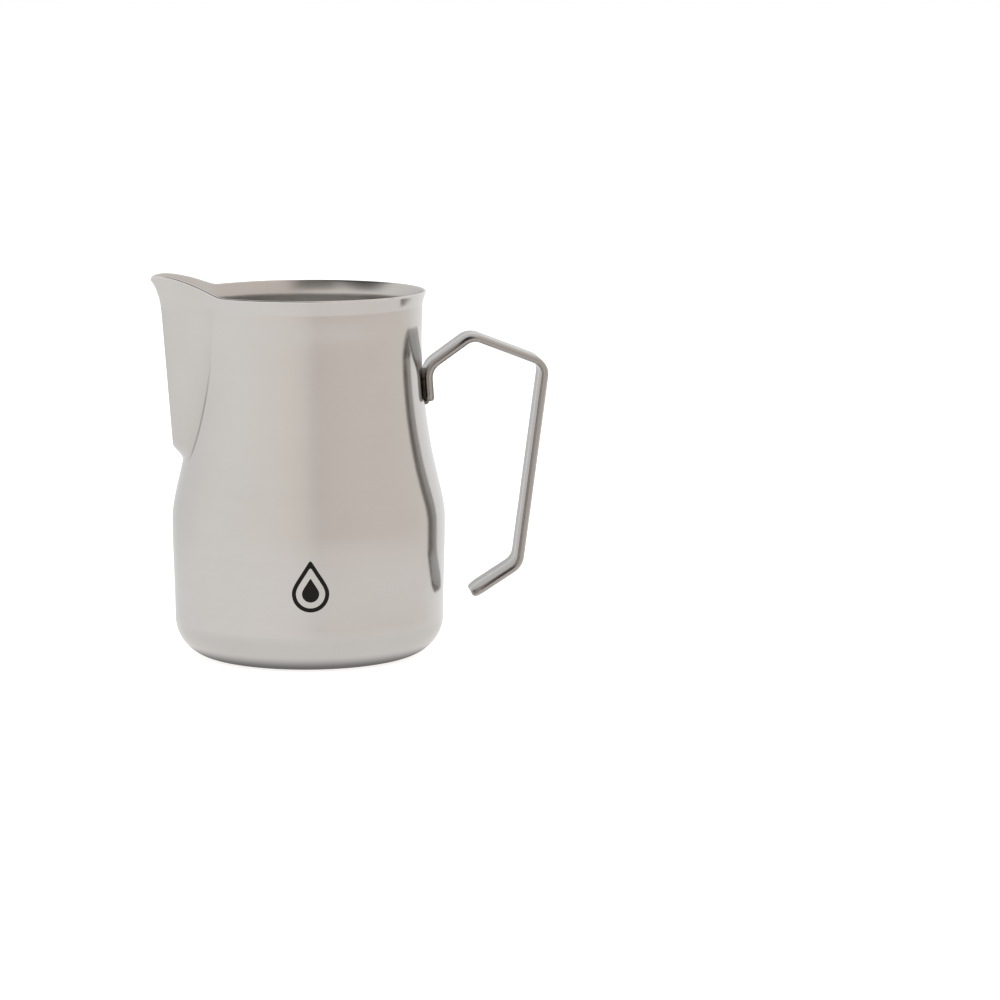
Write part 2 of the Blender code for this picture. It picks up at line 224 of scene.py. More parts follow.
# Mesh density, with the shell's columns as the sectors' ends and how many columns each one has.
CREST_SECTOR = math.radians(5)
CREST_COLUMNS = 8
FLANK_COLUMNS = 24
CREASE_COLUMNS = 8
CREASE_SEARCH_STEPS = 12
NEAR_SECTOR = math.radians(60)
NEAR_COLUMNS = 20
SIDE_SECTOR = math.radians(90)
SIDE_COLUMNS = 14
BACK_COLUMNS = 44
CORNER_ROWS = 16
BELLY_ROWS = 16
SHOULDER_ROWS = 14
FOOT_ROWS = 20
TAPER_ROWS = 24
NECK_ROWS = 18
LIP_ROWS = 12
RIM_STEPS = 8
BASE_RINGS = 4
BEND_STEPS = 20
END_STEPS = 12
RUN_STEPS = 6
EDGE_STEPS = 8
WELD_STATIONS = 61
WELD_ARC_STEPS = 10

NECK_HEIGHT = RIM_HEIGHT - NECK_DROP
SPOUT_FOOT_HEIGHT = SHOULDER_HEIGHT + SPOUT_FOOT_RISE
SPOUT_FOOT_TOP = SPOUT_FOOT_HEIGHT + SPOUT_FOOT_LENGTH


def hermite(x, start, end, start_slope, end_slope):
    """Height-to-radius curve between two (height, radius) points with a given slope at each."""
    span = end[0] - start[0]
    t = np.clip((x - start[0]) / span, 0.0, 1.0)
    return ((2 * t**3 - 3 * t**2 + 1) * start[1] + (t**3 - 2 * t**2 + t) * span * start_slope
            + (3 * t**2 - 2 * t**3) * end[1] + (t**3 - t**2) * span * end_slope)


def soft_above_zero(value, softness):
    """Zero below, value above, with a parabola between -softness and +softness."""
    blend = (value + softness) ** 2 / (4 * softness)
    return np.where(value > softness, value, np.where(value < -softness, 0.0, blend))


def wall_radius(z):
    """Outer radius of the turned wall at a height, without the spout and the lip's flare."""
    z = np.asarray(z, dtype=float)
    foot = (BASE_CORNER_RADIUS, BELLY_RADIUS - BELLY_FOOT_INSET)
    belly = (BELLY_HEIGHT, BELLY_RADIUS)
    shoulder = (SHOULDER_HEIGHT, BELLY_RADIUS - SHOULDER_INSET)
    neck = (NECK_HEIGHT, NECK_RADIUS)
    mouth = (RIM_HEIGHT - LIP_DROP, MOUTH_RADIUS)
    below_belly = hermite(z, foot, belly, 0.0, 0.0)
    below_shoulder = hermite(z, belly, shoulder, 0.0, SHOULDER_SLOPE)
    below_neck = hermite(z, shoulder, neck, SHOULDER_SLOPE, 0.0)
    below_mouth = hermite(z, neck, mouth, 0.0, 0.0)
    drop = np.clip(BASE_CORNER_RADIUS - z, 0.0, BASE_CORNER_RADIUS)
    corner = foot[1] - BASE_CORNER_RADIUS + np.sqrt(BASE_CORNER_RADIUS**2 - drop**2)
    levels = [z < foot[0], z < belly[0], z < shoulder[0], z < neck[0]]
    return np.select(levels, [corner, below_belly, below_shoulder, below_neck], below_mouth)


def rim_rise(angle):
    """How far the rim stands above its level part, at an angle from the spout's crest."""
    climb = WING_RISE * soft_above_zero(1 - np.abs(angle) / WING_ANGLE, WING_START_SOFTNESS)
    return climb - TIP_DIP * np.exp(-np.abs(angle) / TIP_DIP_ANGLE)


def crest_radius(level, z):
    """Distance of the spout's crest from the axis on the row that starts at a level, at a height."""
    foot_radius = float(wall_radius(SPOUT_FOOT_TOP)) + SPOUT_FOOT_STEP
    line_slope = (MOUTH_RADIUS + SPOUT_CREST_STEP - foot_radius) / (RIM_HEIGHT - SPOUT_FOOT_TOP)
    line = foot_radius + line_slope * (np.minimum(z, RIM_HEIGHT) - SPOUT_FOOT_TOP)
    curl = max(0.0, (level - RIM_HEIGHT + SPOUT_CURL_DROP) / SPOUT_CURL_DROP) ** SPOUT_CURL_CURVE
    return line + (SPOUT_REACH - SPOUT_CREST_STEP) * curl


def spout_share(z):
    """How much of the spout stands out at a height: none below its foot and all of it above that."""
    t = np.clip((z - SPOUT_FOOT_HEIGHT) / SPOUT_FOOT_LENGTH, 0.0, 1.0)
    return t**2 * (3 - 2 * t)


def way_up_spout(z):
    """Share of the way up the spout at a height."""
    return np.clip((z - SPOUT_FOOT_HEIGHT) / (RIM_HEIGHT - SPOUT_FOOT_HEIGHT), 0.0, 1.0)


def half_width(up):
    """Angle from the spout's crest to its crease, at a share of the way up the spout."""
    return SPOUT_FOOT_HALF_ANGLE + (SPOUT_MOUTH_HALF_ANGLE - SPOUT_FOOT_HALF_ANGLE) * up**HALF_ANGLE_CURVE


def shell_radius(level, z, angle):
    """Outer radius of the shell on the row from a level, at a height and an angle from the crest."""
    flare = LIP_FLARE * np.clip((level - RIM_HEIGHT + LIP_DROP) / LIP_DROP, 0.0, 1.0) ** LIP_CURVE
    wall = wall_radius(z) + flare
    crest = crest_radius(level, z)
    up = way_up_spout(z)
    half_angle = half_width(up)
    softness = CREST_SOFTNESS_AT_FOOT + (CREST_SOFTNESS_AT_RIM - CREST_SOFTNESS_AT_FOOT) * up
    crease = CREASE_AT_FOOT + (CREASE_AT_RIM - CREASE_AT_FOOT) * up**2
    across = np.sqrt(np.sin(angle) ** 2 + softness**2) - softness
    spread = np.sqrt(np.sin(half_angle) ** 2 + softness**2)
    flank_slope = (crest / wall - np.cos(half_angle)) / (spread - softness)
    turned = np.minimum(angle, 2 * math.pi - angle)
    past_crease = np.maximum(turned - half_angle, 0.0)
    steepness = np.sin(half_angle) * (flank_slope * np.cos(half_angle) / spread - 1) * wall / crest
    flank = crest / np.maximum(np.cos(angle) + flank_slope * across, FAR_SIDE_LIMIT)
    beyond = -wall * np.maximum(steepness, LEAST_CREASE) * past_crease
    proud = np.where(past_crease > 0, beyond, flank - wall)
    return wall + spout_share(z) * soft_above_zero(proud, crease)


def row_height(level, angle):
    """Height of the row that starts at a level, at an angle of up to half a turn from the crest."""
    share = max(0.0, (level - RIM_HEIGHT + WING_DEPTH) / WING_DEPTH) ** 2
    return level + share * rim_rise(angle)


def crease_angle(level):
    """Angle from the crest to the crease on the row that starts at a level."""
    angle = SPOUT_MOUTH_HALF_ANGLE
    for _ in range(CREASE_SEARCH_STEPS):
        angle = float(half_width(way_up_spout(row_height(level, angle))))
    return angle


def column_angles(crease):
    """Angles from the spout's crest right round the shell, with close columns along the crease."""
    sectors = (
        (CREST_SECTOR, CREST_COLUMNS), (crease - CREASE_BAND, FLANK_COLUMNS),
        (crease + CREASE_BAND, CREASE_COLUMNS), (NEAR_SECTOR, NEAR_COLUMNS),
        (SIDE_SECTOR, SIDE_COLUMNS), (math.pi, BACK_COLUMNS),
    )
    half = [0.0]
    for sector_end, count in sectors:
        half.extend(np.linspace(half[-1], sector_end, count + 1)[1:])
    return np.array(half + [2 * math.pi - angle for angle in reversed(half[1:-1])])


def row_levels(top):
    """Heights of the shell's rows, from the table to a top level, on the side away from the spout."""
    corner_turns = np.linspace(0.0, math.pi / 2, CORNER_ROWS + 1)
    corner = BASE_CORNER_RADIUS * (1 - np.cos(corner_turns))
    belly = np.linspace(BASE_CORNER_RADIUS, BELLY_HEIGHT, BELLY_ROWS + 1)[1:]
    shoulder = np.linspace(BELLY_HEIGHT, SHOULDER_HEIGHT, SHOULDER_ROWS + 1)[1:]
    foot = np.linspace(SPOUT_FOOT_HEIGHT, SPOUT_FOOT_TOP, FOOT_ROWS + 1)
    taper = np.linspace(SPOUT_FOOT_TOP, NECK_HEIGHT, TAPER_ROWS + 1)[1:]
    neck = np.linspace(NECK_HEIGHT, RIM_HEIGHT - LIP_DROP, NECK_ROWS + 1)[1:]
    lip = np.linspace(RIM_HEIGHT - LIP_DROP, top, LIP_ROWS + 1)[1:]
    return np.concatenate([corner, belly, shoulder, foot, taper, neck, lip])


def shell_surface(levels):
    """Points on the shell's outer face, rows by columns, and how much painted shade each one takes near the
    crease.
    """
    rows = []
    painted_shade = []
    for level in levels:
        crease = crease_angle(level)
        angles = column_angles(crease)
        turned = np.minimum(angles, 2 * math.pi - angles)
        z = row_height(level, turned)
        radius = shell_radius(level, z, angles)
        rows.append(np.stack([-radius * np.cos(angles), -radius * np.sin(angles), z], axis=-1))
        # Painted shade: a narrow dark line on the crease, and a soft shade on the spout's side of it.
        line_shade_strength = spout_share(z) * np.clip((CREASE_FADE_TOP - z) / CREASE_FADE_LENGTH, 0.0, 1.0)
        painted_crease_shade = line_shade_strength * np.clip(1 - np.abs(turned - crease) / CREASE_BAND, 0.0, 1.0)
        shade = CREASE_SHADE * np.clip((RIM_HEIGHT - z) / CREASE_SHADE_FADE, 0.0, 1.0)
        flank = spout_share(z) * shade * np.exp(-np.abs(crease - turned) / CREASE_SHADE_WIDTH)
        painted_shade.append(np.maximum(painted_crease_shade, np.where(turned < crease, flank, 0.0)))
    return np.array(rows), np.array(painted_shade)


def normalised(vectors):
    """Vectors of length one, along the last axis."""
    return vectors / np.maximum(np.linalg.norm(vectors, axis=-1, keepdims=True), 1e-12)


def surface_frames(grid):
    """Outward normal and upward tangent at each point of a grid that closes on itself sideways."""
    around = np.roll(grid, -1, axis=1) - np.roll(grid, 1, axis=1)
    up = normalised(np.gradient(grid, axis=0))
    normal = normalised(np.cross(around, up))
    outwards = np.sum(normal * grid * np.array([1.0, 1.0, 0.0]), axis=-1).sum()
    if outwards < 0:
        normal = -normal
    return normal, up


def ring_faces(ring_count, ring_size):
    """Quads between neighbouring rings of points."""
    faces = []
    for row in range(ring_count - 1):
        for column in range(ring_size):
            after = (column + 1) % ring_size
            low = row * ring_size
            high = low + ring_size
            faces.append((low + column, low + after, high + after, high + column))
    return faces


def closed_mesh(name, vertices, faces, masks):
    """Smooth closed mesh with faces out, and one value at each vertex for every named mask."""
    mesh = bpy.data.meshes.new(name)
    mesh.from_pydata([tuple(map(float, vertex)) for vertex in vertices], [], faces)
    for mask_name, values in masks.items():
        layer = mesh.attributes.new(mask_name, "FLOAT", "POINT")
        layer.data.foreach_set("value", np.asarray(values, dtype=np.float32))
    solid = bmesh.new()
    solid.from_mesh(mesh)
    bmesh.ops.recalc_face_normals(solid, faces=solid.faces)
    solid.to_mesh(mesh)
    solid.free()
    mesh.shade_smooth()
    return mesh


def add_piece(name, mesh, material, slot, *stands_for):
    """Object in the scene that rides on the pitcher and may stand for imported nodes."""
    mesh.materials.append(material)
    piece = bpy.data.objects.new(name, mesh)
    bpy.context.scene.collection.objects.link(piece)
    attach(piece, "root")
    if stands_for:
        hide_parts(*stands_for)


def shell_mesh(wall):
    """Closed mesh of the shell: outer face, rounded rim, inner face and both faces of the base."""
    grid, painted_shade = shell_surface(row_levels(RIM_HEIGHT - wall * LIP_ROUNDING))
    normal, up = surface_frames(grid)
    inner = grid - normal * wall
    inner[0, :, 2] = wall
    half = wall / 2
    centre = grid[-1] - normal[-1] * half
    rim = []
    for step in range(1, RIM_STEPS):
        turn = math.pi * step / RIM_STEPS
        rim.append(centre + half * (normal[-1] * math.cos(turn) + up[-1] * math.sin(turn)))
    rings = []
    inside = []
    worn = []
    for share in np.linspace(0.0, 1.0, BASE_RINGS + 1)[1:]:
        rings.append(grid[0] * np.array([share, share, 1.0]))
        inside.append(0.0)
        worn.append(0.0)
    for row in grid[1:]:
        rings.append(row)
        inside.append(0.0)
        worn.append(0.0)
    worn[-1] = 0.5
    for row in rim:
        rings.append(row)
        inside.append(0.5)
        worn.append(1.0)
    for row in inner[:0:-1]:
        rings.append(row)
        inside.append(1.0)
        worn.append(0.0)
    worn[len(rings) - len(inner) + 1] = 0.5
    for share in np.linspace(1.0, 0.0, BASE_RINGS + 1)[:-1]:
        rings.append(inner[0] * np.array([share, share, 1.0]))
        inside.append(1.0)
        worn.append(0.0)
    size = grid.shape[1]
    # Painted shade near the spout's crease, on the outer face only.
    painted_crease_shade = np.zeros((len(rings), size))
    painted_crease_shade[BASE_RINGS:BASE_RINGS + len(grid) - 1] = painted_shade[1:]
    vertices = [point for ring in rings for point in ring]
    faces = ring_faces(len(rings), size)
    under = len(vertices)
    vertices += [np.array([0.0, 0.0, 0.0]), np.array([0.0, 0.0, wall])]
    last = (len(rings) - 1) * size
    for column in range(size):
        after = (column + 1) % size
        faces.append((under, after, column))
        faces.append((under + 1, last + column, last + after))
    masks = {
        "inside": list(np.repeat(inside, size)) + [0.0, 1.0],
        "worn_edge": list(np.repeat(worn, size)) + [0.0, 0.0],
        "crease": list(painted_crease_shade.ravel()) + [0.0, 0.0],
    }
    return closed_mesh("polished_shell", vertices, faces, masks)


def tab_radius(z):
    """Distance of the tab's middle line from the axis: straight, and clear of the wall all the way."""
    foot = RIM_HEIGHT - TAB_FOOT_DROP
    top = RIM_HEIGHT - TAB_TOP_DROP
    foot_radius = float(wall_radius(foot))
    top_radius = float(wall_radius(top))
    slope = (top_radius - foot_radius) / (top - foot)
    tilt = math.sqrt(1 + slope**2)
    return foot_radius + slope * (z - foot) + (TOUCH_GAP + STRAP_THICKNESS / 2) * tilt


def strap_corners():
    """Corners of the strap's middle line as (x, z, bend radius), from the tab's foot to the tongue's end."""
    tab_foot = RIM_HEIGHT - TAB_FOOT_DROP
    tab_top = RIM_HEIGHT - TAB_TOP_DROP
    tab_x = tab_radius(tab_top)
    return [
        (tab_radius(tab_foot), tab_foot, 0.0),
        (tab_x, tab_top, TAB_BEND),
        (tab_x + PEAK_FORWARD, RIM_HEIGHT - PEAK_DROP, PEAK_BEND),
        (BELLY_RADIUS + KNUCKLE_ROOM, RIM_HEIGHT - KNUCKLE_DROP, KNUCKLE_BEND),
        (BELLY_RADIUS + HEEL_ROOM, HEEL_HEIGHT, HEEL_BEND),
        (BELLY_RADIUS + TONGUE_ROOM, TONGUE_HEIGHT, 0.0),
    ]


def unit(vector):
    """Vector of length one."""
    return vector / np.linalg.norm(vector)


def bend_points(before, corner, after, radius):
    """Arc of a given radius that rounds the corner between two straight runs."""
    arriving = unit(corner - before)
    leaving = unit(after - corner)
    turn = math.acos(float(np.clip(arriving @ leaving, -1.0, 1.0)))
    setback = radius * math.tan(turn / 2)
    side = unit(leaving - arriving)
    centre = corner + side * math.hypot(radius, setback)
    start = corner - arriving * setback - centre
    sense = 1.0 if arriving[0] * leaving[1] - arriving[1] * leaving[0] > 0 else -1.0
    points = []
    for step in range(BEND_STEPS + 1):
        swing = sense * turn * step / BEND_STEPS
        cosine = math.cos(swing)
        sine = math.sin(swing)
        turned = np.array([cosine * start[0] - sine * start[1], sine * start[0] + cosine * start[1]])
        points.append(centre + turned)
    return points


def end_stations(end, towards, corner_radius, edge):
    """Points near an end of the strap, each with how much narrower and thinner each half is there."""
    direction = unit(towards - end)
    inwards = {edge * (1 - math.cos(turn)) for turn in np.linspace(0.0, math.pi / 2, EDGE_STEPS + 1)}
    inwards |= {corner_radius * (1 - math.cos(turn)) for turn in np.linspace(0.0, math.pi / 2, END_STEPS + 1)}
    stations = []
    for distance in sorted(inwards):
        across = max(corner_radius - distance, 0.0)
        narrower = corner_radius - math.sqrt(corner_radius**2 - across**2)
        over = max(edge - distance, 0.0)
        thinner = edge - math.sqrt(edge**2 - over**2)
        stations.append((end + direction * distance, narrower, thinner))
    return stations


def strap_stations(edge):
    """Points along the strap's middle line, each with how much narrower and thinner each half is there."""
    corners = strap_corners()
    points = [np.array(corner[:2]) for corner in corners]
    stations = end_stations(points[0], points[1], TAB_CORNER, edge)
    for index in range(1, len(points) - 1):
        arc = bend_points(points[index - 1], points[index], points[index + 1], corners[index][2])
        reached = stations[-1][0]
        for share in np.linspace(0.0, 1.0, RUN_STEPS + 1)[1:-1]:
            stations.append((reached + (arc[0] - reached) * share, 0.0, 0.0))
        stations.extend((point, 0.0, 0.0) for point in arc)
    closing = end_stations(points[-1], points[-2], TONGUE_CORNER, edge)[::-1]
    reached = stations[-1][0]
    for share in np.linspace(0.0, 1.0, RUN_STEPS + 1)[1:-1]:
        stations.append((reached + (closing[0][0] - reached) * share, 0.0, 0.0))
    return stations + closing


def strap_normals(points):
    """Unit normals of the middle line, on the side that faces the wall at the tab."""
    normals = []
    for index in range(len(points)):
        before = points[max(index - 1, 0)]
        after = points[min(index + 1, len(points) - 1)]
        arriving = unit(points[index] - before) if index > 0 else unit(after - points[index])
        leaving = unit(after - points[index]) if index < len(points) - 1 else arriving
        along = unit(arriving + leaving)
        normals.append(np.array([-along[1], along[0]]))
    return normals


def strap_outline(half_wide, half_thick, edge):
    """Section of the strap with eased corners, as (across, up, how far the point is on a cut side)."""
    corner = []
    for share in np.linspace(0.0, 1.0, EDGE_STEPS + 1):
        turn = math.pi / 2 * share
        out = EDGE_FLATNESS * (1 - share) + (1 - EDGE_FLATNESS) * math.cos(turn)
        over = EDGE_FLATNESS * share + (1 - EDGE_FLATNESS) * math.sin(turn)
        corner.append((half_wide - edge + edge * out, half_thick - edge + edge * over, math.cos(turn) ** 2))
    upper = corner + [(-across, up, cut) for across, up, cut in reversed(corner)]
    return upper + [(-across, -up, cut) for across, up, cut in upper]


def loft_faces(section_count, size):
    """Quads between sections, and a flat cap at each end."""
    faces = ring_faces(section_count, size)
    faces.append(tuple(reversed(range(size))))
    faces.append(tuple(range((section_count - 1) * size, section_count * size)))
    return faces


def strap_mesh(width, thickness, edge):
    """Closed mesh of the bent flat bar, with rounded edges."""
    stations = strap_stations(edge)
    points = [station[0] for station in stations]
    vertices = []
    cut_side = []
    run = []
    travelled = 0.0
    size = 0
    for index, ((point, narrower, thinner), normal) in enumerate(zip(stations, strap_normals(points))):
        if index:
            travelled += float(np.linalg.norm(point - points[index - 1]))
        left = max(edge - thinner, edge * LEAST_EDGE)
        outline = strap_outline(width / 2 - max(narrower, thinner), thickness / 2 - thinner, left)
        size = len(outline)
        for across, up, cut in outline:
            vertices.append((point[0] + normal[0] * up, across, point[1] + normal[1] * up))
            cut_side.append(cut)
            run.append(travelled)
    ends = 2 * size
    worn = [4 * cut * (1 - cut) for cut in cut_side]
    for index in list(range(ends)) + list(range(len(worn) - ends, len(worn))):
        cut_side[index] = 1.0
        worn[index] = max(worn[index], END_WEAR)
    masks = {"cut_side": cut_side, "worn_edge": worn, "run": run}
    return closed_mesh("satin_strap", vertices, loft_faces(len(stations), size), masks)


def wall_x(z, y):
    """X of the wall's face on the handle's side of the shell, a little inside the metal."""
    return math.sqrt((float(wall_radius(z)) - WELD_BITE) ** 2 - y**2)


def ripple(y):
    """Height of the weld's ripples at a place along it, from 0 to 1."""
    return 0.5 + 0.5 * math.sin(2 * math.pi * y / RIPPLE_SPACING)


def seam_body(top):
    """Weld metal that has run down between the wall and the tab, along the middle of the tab."""
    foot, lean = tab_end()
    levels = np.linspace(foot[1] - lean, top, WELD_ARC_STEPS)
    vertices = []
    for y in np.linspace(-SEAM_WIDTH / 2, SEAM_WIDTH / 2, WELD_ARC_STEPS):
        vertices += [(wall_x(z, y), y, z) for z in levels]
        vertices += [(tab_radius(z) - STRAP_THICKNESS / 2 + WELD_BITE, y, z) for z in levels[::-1]]
    return vertices, loft_faces(WELD_ARC_STEPS, 2 * WELD_ARC_STEPS)


def upper_weld_mesh():
    """Bead in the crook between the wall and the strap's first bend, highest at its middle."""
    corners = [np.array(corner[:2]) for corner in strap_corners()]
    arc = bend_points(corners[0], corners[1], corners[2], TAB_BEND)
    reach = STRAP_THICKNESS / 2 - WELD_BITE
    face = [point + normal * reach for point, normal in zip(arc, strap_normals(arc))]
    face.append(face[-1] + unit(corners[2] - corners[1]) * UPPER_WELD_HEIGHT)
    face_z = [point[1] for point in face]
    face_x = [point[0] for point in face]
    bottom = face_z[0]
    vertices = []
    for y in np.linspace(-UPPER_WELD_LENGTH / 2, UPPER_WELD_LENGTH / 2, WELD_STATIONS):
        fullness = math.sqrt(1 - WELD_TAPER * (2 * y / UPPER_WELD_LENGTH) ** 2)
        top = bottom + UPPER_WELD_HEIGHT * fullness - RIPPLE_HEIGHT * ripple(y)
        levels = np.linspace(bottom, top, WELD_ARC_STEPS)
        strap_x = float(np.interp(top, face_z, face_x))
        from_wall = wall_x(top, y)
        vertices += [(wall_x(z, y), y, z) for z in levels[:-1]]
        for share in np.linspace(0.0, 1.0, WELD_ARC_STEPS):
            sag = (strap_x - from_wall) * WELD_SAG * math.sin(math.pi * share)
            vertices.append((from_wall + (strap_x - from_wall) * share, y, top - sag))
        vertices += [(float(np.interp(z, face_z, face_x)), y, z) for z in levels[-2::-1]]
    size = 3 * WELD_ARC_STEPS - 2
    faces = loft_faces(WELD_STATIONS, size)
    seam_vertices, seam_faces = seam_body(bottom)
    faces += [tuple(len(vertices) + corner for corner in face) for face in seam_faces]
    return closed_mesh("upper_weld", vertices + seam_vertices, faces, {})


def tab_end():
    """The lower end of the tab: its middle, and how far its end face leans below that."""
    foot, top = (np.array(corner[:2]) for corner in strap_corners()[:2])
    return foot, abs(unit(top - foot)[0]) * STRAP_THICKNESS / 2


def lower_weld_mesh():
    """Bead under the tab's lower end, filling the corner between its end face and the wall."""
    foot, lean = tab_end()
    top = foot[1] - lean
    vertices = []
    for y in np.linspace(-LOWER_WELD_LENGTH / 2, LOWER_WELD_LENGTH / 2, WELD_STATIONS):
        fullness = math.sqrt(1 - WELD_TAPER * (2 * y / LOWER_WELD_LENGTH) ** 2)
        leg = LOWER_WELD_LEG * fullness - RIPPLE_HEIGHT * ripple(y)
        vertices.append((wall_x(top, y), y, top))
        for turn in np.linspace(0.0, math.pi / 2, WELD_ARC_STEPS):
            z = top - leg * math.sin(turn)
            vertices.append((wall_x(z, y) + leg * math.cos(turn), y, z))
    return closed_mesh("lower_weld", vertices, loft_faces(WELD_STATIONS, WELD_ARC_STEPS + 1), {})


def drop_outline():
    """Outline of a milk drop one unit high, centred on its belly, with its point at the top."""
    outline = []
    for step in range(DROP_POINTS):
        turn = 2 * math.pi * step / DROP_POINTS
        pull = max(0.0, math.cos(turn)) ** DROP_POINT_CURVE
        narrow = 1 - DROP_PINCH * pull
        across = DROP_BELLY * math.sin(turn) * narrow
        outline.append((across, DROP_BELLY * math.cos(turn) + DROP_POINT * pull))
    return np.array(outline)


def on_belly(across, z, angle, proud):
    """Point on the belly's face, or proud of it, at a distance round from an angle and a height."""
    radius = float(wall_radius(z))
    turn = angle + across / radius
    return ((radius + proud) * math.cos(turn), (radius + proud) * math.sin(turn), z)


def mark_mesh(height, centre_z, angle, film):
    """Closed thin film on the belly: the outline of a drop, with a small drop inside it."""
    outline = drop_outline() * height
    count = len(outline)
    vertices = []
    faces = []

    def add_band(scales, closed):
        """One band of the film between scaled outlines, or a filled one."""
        start = len(vertices)
        rings = [(scale, film) for scale in scales]
        rings += [(scale, -film) for scale in reversed(scales)]
        for scale, proud in rings:
            for x, z in outline * scale:
                vertices.append(on_belly(x, centre_z + z - DROP_MIDDLE * height, angle, proud))
        total = len(rings)
        for row in range(total if closed else total - 1):
            low = start + row * count
            high = start + ((row + 1) % total) * count
            for column in range(count):
                after = (column + 1) % count
                faces.append((low + column, low + after, high + after, high + column))
        if not closed:
            faces.append(tuple(start + column for column in range(count)))
            faces.append(tuple(start + (total - 1) * count + column for column in range(count)))

    add_band(RING_SCALES, True)
    add_band(HEART_SCALES, False)
    return closed_mesh("printed_drop", vertices, faces, {})


class NodeBoard:
    """Adds and links nodes in one node tree."""

    def __init__(self, tree):
        self.tree = tree

    def add(self, kind, **settings):
        """New node of a kind, with its settings."""
        node = self.tree.nodes.new(kind)
        for key, value in settings.items():
            setattr(node, key, value)
        return node

    def put(self, value, socket):
        """Links an output to a socket, or sets the socket to a plain value."""
        if isinstance(value, bpy.types.NodeSocket):
            self.tree.links.new(value, socket)
        else:
            socket.default_value = value

    def maths(self, operation, first, second=0.0, third=None, clamp=False):
        """Result of one Math node."""
        node = self.add("ShaderNodeMath", operation=operation, use_clamp=clamp)
        self.put(first, node.inputs[0])
        self.put(second, node.inputs[1])
        if third is not None:
            self.put(third, node.inputs[2])
        return node.outputs[0]

    def mapped(self, value, from_low, from_high, to_low, to_high, smooth=False):
        """Value moved from one range to another and kept inside it."""
        node = self.add("ShaderNodeMapRange", clamp=True)
        if smooth:
            node.interpolation_type = "SMOOTHSTEP"
        for amount, index in ((value, 0), (from_low, 1), (from_high, 2), (to_low, 3), (to_high, 4)):
            self.put(amount, node.inputs[index])
        return node.outputs[0]

    def mixed(self, share, first, second):
        """Colour between two colours."""
        node = self.add("ShaderNodeMix", data_type="RGBA")
        self.put(share, node.inputs[0])
        self.put(first, node.inputs[6])
        self.put(second, node.inputs[7])
        return node.outputs[2]

    def noise(self, vector, scale, detail=2.0, roughness=0.5):
        """Value of a noise texture at a place."""
        node = self.add("ShaderNodeTexNoise")
        self.put(vector, node.inputs["Vector"])
        self.put(scale, node.inputs["Scale"])
        node.inputs["Detail"].default_value = detail
        node.inputs["Roughness"].default_value = roughness
        return node.outputs["Fac"]

    def group(self, tree, **values):
        """Node that uses a shared effect, with its inputs set by name."""
        node = self.add("ShaderNodeGroup", node_tree=tree)
        for key, value in values.items():
            self.put(value, node.inputs[key.replace("_", " ")])
        return node.outputs


def new_group(name, inputs, outputs):
    """Empty shared effect: its board, its inputs by name and its output node."""
    tree = bpy.data.node_groups.new(name, "ShaderNodeTree")
    for label, kind, default in inputs:
        socket = tree.interface.new_socket(label, in_out="INPUT", socket_type=kind)
        if default is not None:
            socket.default_value = default
    for label, kind in outputs:
        tree.interface.new_socket(label, in_out="OUTPUT", socket_type=kind)
    board = NodeBoard(tree)
    return board, board.add("NodeGroupInput").outputs, board.add("NodeGroupOutput").inputs


def shared_effect(name, build):
    """The node group with a name, built the first time that it is asked for."""
    found = bpy.data.node_groups.get(name)
    return found if found is not None else build(name)


def build_polish_lines(name):
    """Fine parallel lines that polishing leaves, as a height and a slow change of tone."""
    board, given, made = new_group(
        name,
        [("Across", "NodeSocketFloat", 0.0), ("Along", "NodeSocketFloat", 0.0),
         ("Line Spacing", "NodeSocketFloat", 0.0003), ("Line Length", "NodeSocketFloat", 0.02)],
        [("Height", "NodeSocketFloat"), ("Tone", "NodeSocketFloat")],
    )
    place = board.add("ShaderNodeCombineXYZ")
    board.put(board.maths("DIVIDE", given["Across"], given["Line Spacing"]), place.inputs[0])
    board.put(board.maths("DIVIDE", given["Along"], given["Line Length"]), place.inputs[1])
    board.put(board.noise(place.outputs[0], 1.0, 3.0, 0.6), made["Height"])
    board.put(board.noise(place.outputs[0], 0.11, 2.0, 0.5), made["Tone"])
    return board.tree


def build_hairline_scratches(name):
    """Sparse thin scratches in two crossing directions, as a mask."""
    board, given, made = new_group(
        name,
        [("Place", "NodeSocketVector", None), ("Scratch Length", "NodeSocketFloat", 0.02),
         ("Amount", "NodeSocketFloat", 0.5)],
        [("Mask", "NodeSocketFloat")],
    )
    lines = []
    for tilt in (0.5, -0.85):
        turned = board.add("ShaderNodeMapping", vector_type="POINT")
        board.put(given["Place"], turned.inputs["Vector"])
        turned.inputs["Rotation"].default_value = (tilt, 0.35 * tilt, tilt)
        turned.inputs["Scale"].default_value = (1.0, 26.0, 26.0)
        scale = board.maths("DIVIDE", 1.0, given["Scratch Length"])
        field = board.noise(turned.outputs[0], scale, 1.0, 0.4)
        off_line = board.maths("ABSOLUTE", board.maths("SUBTRACT", field, 0.5))
        lines.append(board.mapped(off_line, 0.0, 0.006, 1.0, 0.0))
    patches = board.mapped(board.noise(given["Place"], 55.0, 1.0), 0.5, 0.66, 0.0, 1.0, smooth=True)
    both = board.maths("MAXIMUM", lines[0], lines[1])
    board.put(board.maths("MULTIPLY", board.maths("MULTIPLY", both, patches), given["Amount"]), made["Mask"])
    return board.tree


